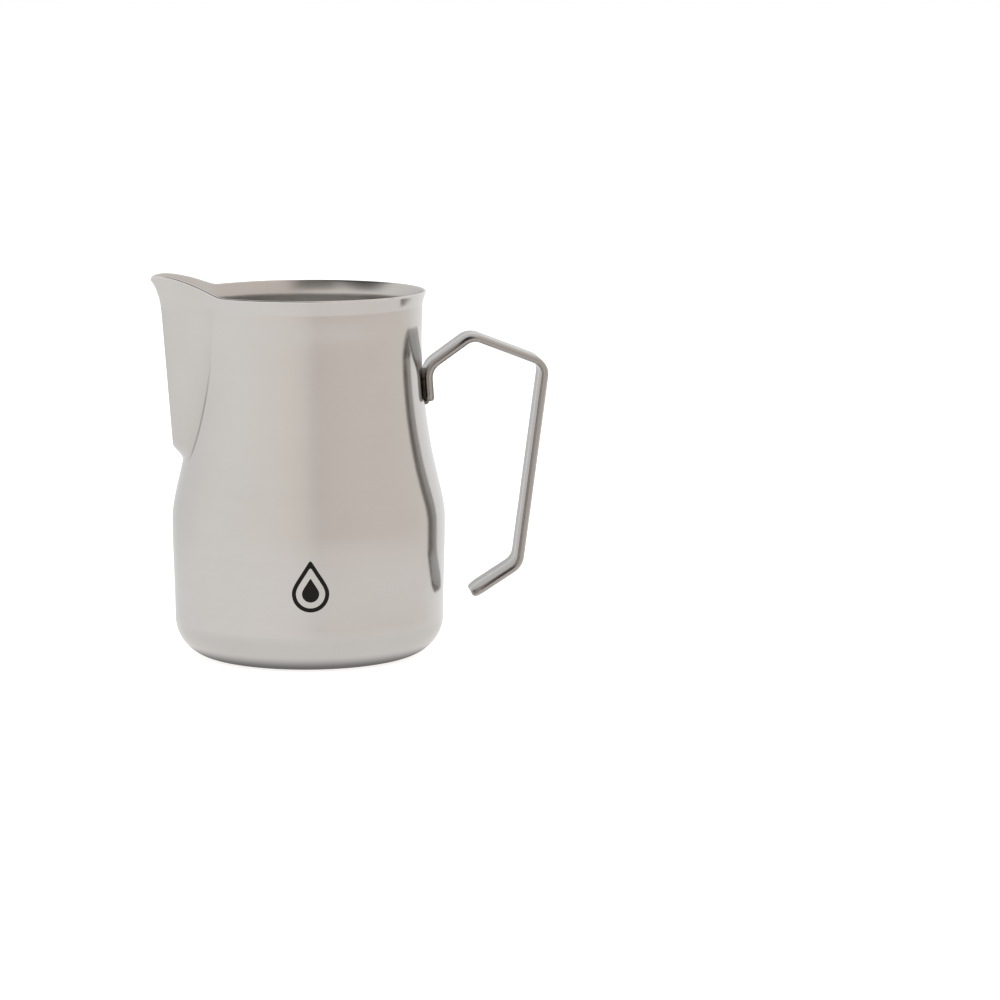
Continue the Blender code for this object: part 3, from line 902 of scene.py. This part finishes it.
def build_handling_marks(name):
    """Soft smears that hands and cloths leave, as a mask."""
    board, given, made = new_group(
        name,
        [("Place", "NodeSocketVector", None), ("Smear Size", "NodeSocketFloat", 0.02),
         ("Amount", "NodeSocketFloat", 1.0)],
        [("Mask", "NodeSocketFloat")],
    )
    scale = board.maths("DIVIDE", 1.0, given["Smear Size"])
    broad = board.mapped(board.noise(given["Place"], scale, 3.0, 0.55), 0.42, 0.68, 0.0, 1.0, smooth=True)
    fine = board.noise(given["Place"], board.maths("MULTIPLY", scale, 9.0), 2.0, 0.6)
    board.put(board.maths("MULTIPLY", board.maths("MULTIPLY", broad, fine), given["Amount"]), made["Mask"])
    return board.tree


def build_edge_wear(name):
    """Bright rubbed metal along the edges that a mask marks, broken up by noise."""
    board, given, made = new_group(
        name,
        [("Edge", "NodeSocketFloat", 0.0), ("Place", "NodeSocketVector", None),
         ("Amount", "NodeSocketFloat", 0.5)],
        [("Mask", "NodeSocketFloat")],
    )
    broken = board.mapped(board.noise(given["Place"], 420.0, 3.0, 0.6), 0.3, 0.7, 0.45, 1.0)
    rubbed = board.maths("MULTIPLY", given["Edge"], broken)
    board.put(board.maths("MULTIPLY", rubbed, given["Amount"]), made["Mask"])
    return board.tree


def new_material(name):
    """Node material with an empty board, its Principled shader and its place coordinates."""
    material = bpy.data.materials.new(name)
    material.use_nodes = True
    board = NodeBoard(material.node_tree)
    shader = material.node_tree.nodes["Principled BSDF"]
    place = board.add("ShaderNodeTexCoord").outputs["Object"]
    return material, board, shader, place


def shade_of(colour, share=1.0):
    """Opaque node colour that is a colour's three values times a share."""
    return (*[value * share for value in colour], 1.0)


def scratches_of(board, place, length, amount):
    """Mask of the hairline scratches on one material."""
    effect = shared_effect("Hairline Scratches", build_hairline_scratches)
    return board.group(effect, Place=place, Scratch_Length=length, Amount=amount)["Mask"]


def smears_of(board, place, size, amount):
    """Mask of the handling marks on one material."""
    effect = shared_effect("Handling Marks", build_handling_marks)
    return board.group(effect, Place=place, Smear_Size=size, Amount=amount)["Mask"]


def wear_of(board, place, amount):
    """Mask of the rubbed metal along the edges that the mesh marks as worn."""
    effect = shared_effect("Edge Wear", build_edge_wear)
    return board.group(effect, Edge=mask_of(board, "worn_edge"), Place=place, Amount=amount)["Mask"]


def lines_of(board, across, along, spacing, length):
    """Height and tone of the polishing lines on one material."""
    effect = shared_effect("Polish Lines", build_polish_lines)
    return board.group(effect, Across=across, Along=along, Line_Spacing=spacing, Line_Length=length)


def mask_of(board, name):
    """Value that the mesh carries at each vertex under a name."""
    return board.add("ShaderNodeAttribute", attribute_type="GEOMETRY", attribute_name=name).outputs["Fac"]


def bumped(board, shader, height, distance):
    """Feeds a height to the shader's normal through one Bump node."""
    bump = board.add("ShaderNodeBump")
    bump.inputs["Strength"].default_value = 1.0
    bump.inputs["Distance"].default_value = distance
    board.put(height, bump.inputs["Height"])
    board.put(bump.outputs["Normal"], shader.inputs["Normal"])


def polished_shell_steel(finishes):
    """Mirror-polished steel outside, satin inside, with lines that run round the shell."""
    material, board, shader, place = new_material("shell_steel")
    shader.inputs["Metallic"].default_value = 1.0
    parts = board.add("ShaderNodeSeparateXYZ")
    board.put(place, parts.inputs[0])
    round_angle = board.maths("ARCTAN2", parts.outputs[1], parts.outputs[0])
    along = board.maths("MULTIPLY", round_angle, BELLY_RADIUS)
    lines = lines_of(board, parts.outputs[2], along, 0.00035, 0.03)
    scratches = scratches_of(board, place, 0.012, finishes.scratches)
    smears = smears_of(board, place, 0.022, finishes.smears)
    wear = wear_of(board, place, 0.6)
    inside = mask_of(board, "inside")
    tone = board.mapped(lines["Tone"], 0.3, 0.7, 0.0, 1.0)
    colour = board.mixed(tone, shade_of(finishes.shell_colour), shade_of(finishes.shell_colour, 0.992))
    colour = board.mixed(board.maths("MULTIPLY", smears, 0.30), colour, SHELL_SMEAR)
    colour = board.mixed(board.maths("MULTIPLY", scratches, 0.25), colour, SHELL_SCRATCH)
    colour = board.mixed(board.maths("MULTIPLY", inside, 0.5), colour, shade_of(finishes.inner_colour))
    colour = board.mixed(wear, colour, SHELL_WEAR)
    # Painted shade along the spout's crease and on its side, darkening the base colour.
    colour = board.mixed(board.maths("MULTIPLY", mask_of(board, "crease"), 0.65), colour, PAINTED_CREASE_SHADE_COLOUR)
    board.put(colour, shader.inputs["Base Color"])
    rough = board.maths("MULTIPLY_ADD", tone, 0.016, finishes.shell_roughness - 0.008)
    rough = board.maths("MULTIPLY_ADD", smears, 0.07, rough)
    rough = board.maths("MULTIPLY_ADD", scratches, 0.10, rough)
    rough = board.maths("MULTIPLY_ADD", inside, finishes.inner_roughness - finishes.shell_roughness, rough)
    board.put(board.maths("MULTIPLY_ADD", wear, 0.06, rough, clamp=True), shader.inputs["Roughness"])
    height = board.maths("MULTIPLY_ADD", scratches, -0.8, lines["Height"])
    height = board.maths("MULTIPLY", height, board.maths("MULTIPLY_ADD", inside, -0.7, 1.0))
    bumped(board, shader, height, SHELL_BUMP)
    return material


def satin_strap_steel(finishes):
    """Satin bar steel with lines along the bar and darker, coarser cut sides."""
    material, board, shader, place = new_material("strap_satin_steel")
    shader.inputs["Metallic"].default_value = 1.0
    parts = board.add("ShaderNodeSeparateXYZ")
    board.put(place, parts.inputs[0])
    lines = lines_of(board, parts.outputs[1], mask_of(board, "run"), 0.00028, 0.02)
    scratches = scratches_of(board, place, 0.009, finishes.scratches)
    smears = smears_of(board, place, 0.014, finishes.smears)
    wear = wear_of(board, place, 0.35)
    cut = mask_of(board, "cut_side")
    tone = board.mapped(lines["Tone"], 0.3, 0.7, 0.0, 1.0)
    colour = board.mixed(tone, shade_of(finishes.strap_colour), shade_of(finishes.strap_colour, 0.93))
    colour = board.mixed(board.maths("MULTIPLY", smears, 0.35), colour, STRAP_SMEAR)
    colour = board.mixed(board.mapped(cut, 0.45, 0.85, 0.0, 1.0, smooth=True), colour,
                         shade_of(finishes.cut_colour))
    colour = board.mixed(board.maths("MULTIPLY", scratches, 0.25), colour, STRAP_SCRATCH)
    colour = board.mixed(wear, colour, STRAP_WEAR)
    board.put(colour, shader.inputs["Base Color"])
    rough = board.maths("MULTIPLY_ADD", tone, 0.05, finishes.strap_roughness - 0.02)
    rough = board.maths("MULTIPLY_ADD", smears, 0.08, rough)
    rough = board.maths("MULTIPLY_ADD", cut, 0.12, rough)
    board.put(board.maths("MULTIPLY_ADD", scratches, 0.10, rough, clamp=True), shader.inputs["Roughness"])
    height = board.maths("MULTIPLY_ADD", scratches, -0.8, lines["Height"])
    bumped(board, shader, height, STRAP_BUMP)
    return material


def weld_metal(finishes):
    """Dark, uneven weld metal with a heat tint."""
    material, board, shader, place = new_material("weld_metal")
    shader.inputs["Metallic"].default_value = 1.0
    patches = board.noise(place, 900.0, 3.0, 0.6)
    tint = board.mapped(board.noise(place, 260.0, 1.0), 0.4, 0.62, 0.0, 1.0, smooth=True)
    colour = board.mixed(patches, shade_of(finishes.weld_colour), shade_of(finishes.weld_colour, 0.45))
    colour = board.mixed(board.maths("MULTIPLY", tint, 0.4), colour, HEAT_TINT)
    smears = smears_of(board, place, 0.003, 1.0)
    colour = board.mixed(board.maths("MULTIPLY", smears, 0.4), colour, WELD_SOOT)
    board.put(colour, shader.inputs["Base Color"])
    board.put(board.mapped(patches, 0.3, 0.7, 0.32, 0.58), shader.inputs["Roughness"])
    bumped(board, shader, patches, WELD_BUMP)
    return material


def mark_ink(finishes):
    """Matt black screen print with a fine grain and slight rub marks."""
    material, board, shader, place = new_material("print_black")
    shader.inputs["Specular IOR Level"].default_value = 0.12
    grain = board.noise(place, 5200.0, 2.0, 0.6)
    scratches = scratches_of(board, place, 0.006, 0.5)
    colour = board.mixed(board.mapped(grain, 0.3, 0.7, 0.0, 1.0), shade_of(finishes.mark_colour),
                         shade_of(finishes.mark_colour, 1.7))
    colour = board.mixed(board.maths("MULTIPLY", scratches, 0.3), colour, RUBBED_PRINT)
    board.put(colour, shader.inputs["Base Color"])
    board.put(board.mapped(grain, 0.3, 0.7, 0.42, 0.58), shader.inputs["Roughness"])
    bumped(board, shader, grain, PRINT_BUMP)
    return material


def floor_material(studio):
    """Pale floor with a soft glow, which metal mirrors with a painted contact shadow near the base and not at
    all far from it.
    """
    material, board, shader, place = new_material("pale_floor")
    cloudy = board.noise(place, 1.5, 2.0)
    colour = board.mixed(cloudy, FLOOR_DARKER, FLOOR_LIGHTER)
    shader.inputs["Roughness"].default_value = 0.9
    shader.inputs["Specular IOR Level"].default_value = 0.0
    shader.inputs["Emission Color"].default_value = FLOOR_GLOW_COLOUR
    mirrored = board.add("ShaderNodeLightPath").outputs["Is Glossy Ray"]
    board.put(board.mixed(mirrored, colour, (0.0, 0.0, 0.0, 1.0)), shader.inputs["Base Color"])
    length = board.add("ShaderNodeVectorMath", operation="LENGTH")
    board.put(place, length.inputs[0])
    distance = length.outputs["Value"]
    full_glow = studio.mirrored_glow
    # Painted contact shadow: only the metal sees it, as the floor's glow dimming near the base.
    contact = board.mapped(distance, CONTACT_FROM, CONTACT_TO, CONTACT_GLOW, full_glow, smooth=True)
    glow = board.add("ShaderNodeMix", data_type="FLOAT")
    for value, index in ((mirrored, 0), (studio.floor_glow, 2), (contact, 3)):
        board.put(value, glow.inputs[index])
    board.put(glow.outputs[0], shader.inputs["Emission Strength"])
    far = board.mapped(distance, MIRROR_FADE_FROM, MIRROR_FADE_TO, 0.0, 1.0, smooth=True)
    board.put(board.maths("SUBTRACT", 1.0, board.maths("MULTIPLY", mirrored, far)), shader.inputs["Alpha"])
    return material


def add_floor(material):
    """Flat round floor of quads and a centre fan, with closer rings near the middle."""
    mesh = bpy.data.meshes.new("floor")
    vertices = [(0.0, 0.0, 0.0)]
    faces = []
    for ring in range(1, FLOOR_RINGS + 1):
        reach = FLOOR_RADIUS * (ring / FLOOR_RINGS) ** 2
        for spoke in range(FLOOR_SPOKES):
            turn = 2 * math.pi * spoke / FLOOR_SPOKES
            vertices.append((reach * math.cos(turn), reach * math.sin(turn), 0.0))
    for spoke in range(FLOOR_SPOKES):
        after = (spoke + 1) % FLOOR_SPOKES
        faces.append((0, 1 + spoke, 1 + after))
        for ring in range(FLOOR_RINGS - 1):
            low = 1 + ring * FLOOR_SPOKES
            high = low + FLOOR_SPOKES
            faces.append((low + spoke, high + spoke, high + after, low + after))
    mesh.from_pydata(vertices, [], faces)
    mesh.materials.append(material)
    disc = bpy.data.objects.new("floor", mesh)
    bpy.context.scene.collection.objects.link(disc)


def colour_ramp(board, value, stops):
    """Colour read from a ramp of (place, colour) stops."""
    node = board.add("ShaderNodeValToRGB")
    node.color_ramp.interpolation = "B_SPLINE"
    elements = node.color_ramp.elements
    while len(elements) < len(stops):
        elements.new(0.5)
    for element, (position, colour) in zip(elements, stops):
        element.position = position
        element.color = (*colour, 1.0)
    board.put(value, node.inputs[0])
    return node.outputs[0]


def facing(board, direction, aim, widest, full):
    """Soft-edged spot of the room round an aim, between two values of the direction's share along it."""
    along = board.add("ShaderNodeVectorMath", operation="DOT_PRODUCT")
    board.put(direction, along.inputs[0])
    along.inputs[1].default_value = aim.normalized()
    return board.mapped(along.outputs["Value"], widest, full, 0.0, 1.0, smooth=True)


def build_room(studio):
    """World that is plain white to look at, with the room's soft tones where metal mirrors it."""
    world = bpy.data.worlds.new("studio_room")
    world.use_nodes = True
    board = NodeBoard(world.node_tree)
    background = world.node_tree.nodes["Background"]
    direction = board.add("ShaderNodeTexCoord").outputs["Generated"]
    parts = board.add("ShaderNodeSeparateXYZ")
    board.put(direction, parts.inputs[0])
    forwards = board.maths("MULTIPLY", parts.outputs[1], -1.0)
    bearing = board.maths("ARCTAN2", parts.outputs[0], forwards)
    turn = board.maths("MULTIPLY_ADD", bearing, 1 / (2 * math.pi), 0.5)
    offset = math.radians(studio.room_turn) / (2 * math.pi)
    turn = board.maths("FRACT", board.maths("ADD", turn, offset))
    tones = colour_ramp(board, turn, [((degrees + 180) / 360, tone) for degrees, tone in ROOM_BEARINGS])
    height = parts.outputs[2]
    near_floor = board.mapped(height, NEAR_FLOOR_FROM, NEAR_FLOOR_TO, 0.0, NEAR_FLOOR_SHARE, smooth=True)
    tones = board.mixed(near_floor, tones, NEAR_FLOOR)
    overhead = facing(board, direction, CEILING_PANEL, CEILING_PANEL_RIM, CEILING_PANEL_CORE)
    tones = board.mixed(overhead, tones, PANEL_BLACK)
    off_middle = board.maths("ABSOLUTE", board.maths("SUBTRACT", bearing, FRONT_PANEL_BEARING))
    in_front = board.mapped(off_middle, FRONT_PANEL_RIM, FRONT_PANEL_CORE, 0.0, 1.0, smooth=True)
    above = board.mapped(height, FRONT_PANEL_LOW, FRONT_PANEL_HIGH, 0.0, FRONT_PANEL_SHARE, smooth=True)
    tones = board.mixed(board.maths("MULTIPLY", in_front, above), tones, PANEL_BLACK)
    mirrored = board.add("ShaderNodeLightPath").outputs["Is Glossy Ray"]
    board.put(board.mixed(mirrored, (1.0, 1.0, 1.0, 1.0), tones), background.inputs["Color"])
    background.inputs["Strength"].default_value = 1.0
    bpy.context.scene.world = world


def add_softbox(name, location, size, power):
    """Large area light that points at the pitcher's middle and isn't mirrored as a shape."""
    light = bpy.data.lights.new(name, "AREA")
    light.shape = "DISK"
    light.size = size
    light.energy = power
    lamp = bpy.data.objects.new(name, light)
    lamp.location = location
    middle = Vector((0.0, 0.0, RIM_HEIGHT / 2))
    lamp.rotation_mode = "QUATERNION"
    lamp.rotation_quaternion = (middle - lamp.location).to_track_quat("-Z", "Y")
    lamp.visible_glossy = False
    lamp.visible_camera = False
    bpy.context.scene.collection.objects.link(lamp)


def add_camera(studio):
    """Camera in front of the pitcher and a little above it, with the pitcher left of the middle."""
    turn = math.radians(-studio.camera_turn)
    across = Vector((math.cos(turn), math.sin(turn), 0.0)) * studio.camera_side
    back = Vector((math.sin(turn), -math.cos(turn), 0.0)) * studio.camera_distance
    lens = bpy.data.cameras.new("studio_camera")
    lens.sensor_width = FILM_WIDTH
    lens.lens = studio.camera_lens
    lens.clip_start = CLIP_NEAR
    lens.clip_end = CLIP_FAR
    camera = bpy.data.objects.new("studio_camera", lens)
    camera.location = across + back + Vector((0.0, 0.0, studio.camera_height))
    aim = across + Vector((0.0, 0.0, studio.aim_height))
    camera.rotation_mode = "QUATERNION"
    camera.rotation_quaternion = (aim - camera.location).to_track_quat("-Z", "Y")
    bpy.context.scene.collection.objects.link(camera)
    bpy.context.scene.camera = camera


class PitcherSizes(bpy.types.PropertyGroup):
    """Sizes of the visible pieces."""

    wall: bpy.props.FloatProperty(
        name="Wall", description="Thickness of the shell's wall", default=0.0008, unit="LENGTH")
    strap_width: bpy.props.FloatProperty(
        name="Strap Width", description="Width of the handle's flat bar",
        default=STRAP_HIGH.y - STRAP_LOW.y, unit="LENGTH")
    strap_thickness: bpy.props.FloatProperty(
        name="Strap Thickness", description="Thickness of the handle's flat bar",
        default=STRAP_THICKNESS - STRAP_POLISHED_OFF, unit="LENGTH")
    strap_edge: bpy.props.FloatProperty(
        name="Strap Edge", description="Radius of the bar's rounded edges", default=0.0009, unit="LENGTH")
    mark_height: bpy.props.FloatProperty(
        name="Mark Height", description="Height of the printed drop", default=0.0165, unit="LENGTH")
    mark_centre: bpy.props.FloatProperty(
        name="Mark Centre", description="Height of the printed drop's middle above the table",
        default=0.0289, unit="LENGTH")
    mark_angle: bpy.props.FloatProperty(
        name="Mark Angle", description="Place of the printed drop round the belly, from the handle",
        default=math.radians(-93.0), subtype="ANGLE")
    mark_film: bpy.props.FloatProperty(
        name="Mark Film", description="How far the print stands proud of the steel",
        default=0.00004, precision=6, unit="LENGTH")


class PitcherFinishes(bpy.types.PropertyGroup):
    """Colours and polish of the visible pieces."""

    shell_colour: bpy.props.FloatVectorProperty(
        name="Shell", description="Colour of the polished shell", default=(0.62, 0.612, 0.604),
        subtype="COLOR")
    inner_colour: bpy.props.FloatVectorProperty(
        name="Inside", description="Colour of the steel inside the shell", default=(0.56, 0.545, 0.53),
        subtype="COLOR")
    strap_colour: bpy.props.FloatVectorProperty(
        name="Strap", description="Colour of the handle's broad faces", default=(0.51, 0.50, 0.49),
        subtype="COLOR")
    cut_colour: bpy.props.FloatVectorProperty(
        name="Cut Sides", description="Colour of the handle's cut sides", default=(0.40, 0.383, 0.37),
        subtype="COLOR")
    weld_colour: bpy.props.FloatVectorProperty(
        name="Welds", description="Colour of the weld metal", default=(0.20, 0.185, 0.17), subtype="COLOR")
    mark_colour: bpy.props.FloatVectorProperty(
        name="Print", description="Colour of the printed drop", default=(0.006, 0.006, 0.005),
        subtype="COLOR")
    shell_roughness: bpy.props.FloatProperty(
        name="Shell Roughness", description="Softness of the shell's reflections", default=0.12,
        min=0.0, max=1.0, subtype="FACTOR")
    inner_roughness: bpy.props.FloatProperty(
        name="Inside Roughness", description="Softness of the reflections inside", default=0.24,
        min=0.0, max=1.0, subtype="FACTOR")
    strap_roughness: bpy.props.FloatProperty(
        name="Strap Roughness", description="Softness of the strap's reflections", default=0.17,
        min=0.0, max=1.0, subtype="FACTOR")
    smears: bpy.props.FloatProperty(
        name="Smears", description="Amount of hand and cloth marks", default=0.5,
        min=0.0, max=1.0, subtype="FACTOR")
    scratches: bpy.props.FloatProperty(
        name="Scratches", description="Amount of hairline scratches", default=0.35,
        min=0.0, max=1.0, subtype="FACTOR")


class PitcherStudio(bpy.types.PropertyGroup):
    """Camera, floor and room."""

    camera_distance: bpy.props.FloatProperty(
        name="Camera Distance", description="Distance of the camera in front of the pitcher", default=1.30,
        unit="LENGTH")
    camera_height: bpy.props.FloatProperty(
        name="Camera Height", description="Height of the camera above the table", default=0.24, unit="LENGTH")
    camera_side: bpy.props.FloatProperty(
        name="Camera Side", description="How far the camera stands to the handle's side", default=0.0625,
        unit="LENGTH")
    camera_turn: bpy.props.FloatProperty(
        name="Camera Turn", description="Degrees the camera is moved round towards the spout", default=6.2)
    aim_height: bpy.props.FloatProperty(
        name="Aim Height", description="Height above the table that the camera aims at", default=0.0503,
        unit="LENGTH")
    camera_lens: bpy.props.FloatProperty(
        name="Lens", description="Focal length in millimetres", default=144.65)
    floor_glow: bpy.props.FloatProperty(
        name="Floor Glow", description="How much of the floor's white comes from the lit sweep", default=0.82,
        min=0.0, max=2.0)
    mirrored_glow: bpy.props.FloatProperty(
        name="Mirrored Glow", description="The same where the metal mirrors the floor near it", default=0.86,
        min=0.0, max=2.0)
    room_turn: bpy.props.FloatProperty(
        name="Room Turn", description="Degrees that the mirrored room is turned", default=0.0)


class PITCHER_OT_build_shell(bpy.types.Operator):
    """Build the polished shell with its pressed spout and rounded rim"""

    bl_idname = "pitcher.build_shell"
    bl_label = "Build Shell"

    def execute(self, context):
        """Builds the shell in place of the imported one."""
        mesh = shell_mesh(context.scene.pitcher_sizes.wall)
        material = polished_shell_steel(context.scene.pitcher_finishes)
        add_piece("polished_shell", mesh, material, "polished_steel", "body_shell")
        return {"FINISHED"}


class PITCHER_OT_build_strap(bpy.types.Operator):
    """Build the bent strap handle with rounded edges"""

    bl_idname = "pitcher.build_strap"
    bl_label = "Build Strap"

    def execute(self, context):
        """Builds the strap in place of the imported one."""
        sizes = context.scene.pitcher_sizes
        mesh = strap_mesh(sizes.strap_width, sizes.strap_thickness, sizes.strap_edge)
        material = satin_strap_steel(context.scene.pitcher_finishes)
        add_piece("satin_strap", mesh, material, "strap_steel", "handle_strap")
        return {"FINISHED"}


class PITCHER_OT_build_welds(bpy.types.Operator):
    """Build the two rippled weld beads at the ends of the tab"""

    bl_idname = "pitcher.build_welds"
    bl_label = "Build Welds"

    def execute(self, context):
        """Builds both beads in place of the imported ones."""
        material = weld_metal(context.scene.pitcher_finishes)
        add_piece("upper_weld", upper_weld_mesh(), material, "weld_steel", "weld_bead_upper")
        add_piece("lower_weld", lower_weld_mesh(), material, "weld_steel", "weld_bead_lower")
        return {"FINISHED"}


class PITCHER_OT_print_mark(bpy.types.Operator):
    """Print the plain drop on the belly"""

    bl_idname = "pitcher.print_mark"
    bl_label = "Print Mark"

    def execute(self, context):
        """Adds the thin film of the drop to the belly's face."""
        sizes = context.scene.pitcher_sizes
        mesh = mark_mesh(sizes.mark_height, sizes.mark_centre, sizes.mark_angle, sizes.mark_film)
        add_piece("printed_drop", mesh, mark_ink(context.scene.pitcher_finishes), "printed_mark")
        return {"FINISHED"}


class PITCHER_OT_set_stage(bpy.types.Operator):
    """Set up the pale floor, the soft light and the camera"""

    bl_idname = "pitcher.set_stage"
    bl_label = "Set Stage"

    def execute(self, context):
        """Adds the floor, the room, two soft lights and the camera."""
        studio = context.scene.pitcher_studio
        add_floor(floor_material(studio))
        build_room(studio)
        for softbox in SOFTBOXES:
            add_softbox(*softbox)
        add_camera(studio)
        context.scene.view_settings.view_transform = "Standard"
        return {"FINISHED"}


class PITCHER_PT_panel(bpy.types.Panel):
    """Sidebar panel with the pitcher's sizes, finishes and build steps"""

    bl_label = "Milk Frothing Pitcher"
    bl_idname = "PITCHER_PT_panel"
    bl_space_type = "VIEW_3D"
    bl_region_type = "UI"
    bl_category = "Pitcher"

    def draw(self, context):
        """Lists the settings and the operators."""
        scene = context.scene
        for title, group in (("Sizes", scene.pitcher_sizes), ("Finishes", scene.pitcher_finishes),
                             ("Studio", scene.pitcher_studio)):
            box = self.layout.box()
            box.label(text=title)
            for name in group.bl_rna.properties.keys():
                if name not in {"rna_type", "name"}:
                    box.prop(group, name)
        for operator in BUILD_STEPS:
            self.layout.operator(operator.bl_idname)


BUILD_STEPS = (PITCHER_OT_build_shell, PITCHER_OT_build_strap, PITCHER_OT_build_welds, PITCHER_OT_print_mark,
               PITCHER_OT_set_stage)
SETTINGS = (PitcherSizes, PitcherFinishes, PitcherStudio)


def register():
    """Registers the settings, the operators and the panel."""
    for item in (*SETTINGS, *BUILD_STEPS, PITCHER_PT_panel):
        bpy.utils.register_class(item)
    bpy.types.Scene.pitcher_sizes = bpy.props.PointerProperty(type=PitcherSizes)
    bpy.types.Scene.pitcher_finishes = bpy.props.PointerProperty(type=PitcherFinishes)
    bpy.types.Scene.pitcher_studio = bpy.props.PointerProperty(type=PitcherStudio)


def unregister():
    """Removes what register added."""
    del bpy.types.Scene.pitcher_studio
    del bpy.types.Scene.pitcher_finishes
    del bpy.types.Scene.pitcher_sizes
    for item in reversed((*SETTINGS, *BUILD_STEPS, PITCHER_PT_panel)):
        bpy.utils.unregister_class(item)


def main():
    """Builds every piece and the stage."""
    register()
    bpy.ops.pitcher.build_shell()
    bpy.ops.pitcher.build_strap()
    bpy.ops.pitcher.build_welds()
    bpy.ops.pitcher.print_mark()
    bpy.ops.pitcher.set_stage()


if __name__ == "__main__":
    main()
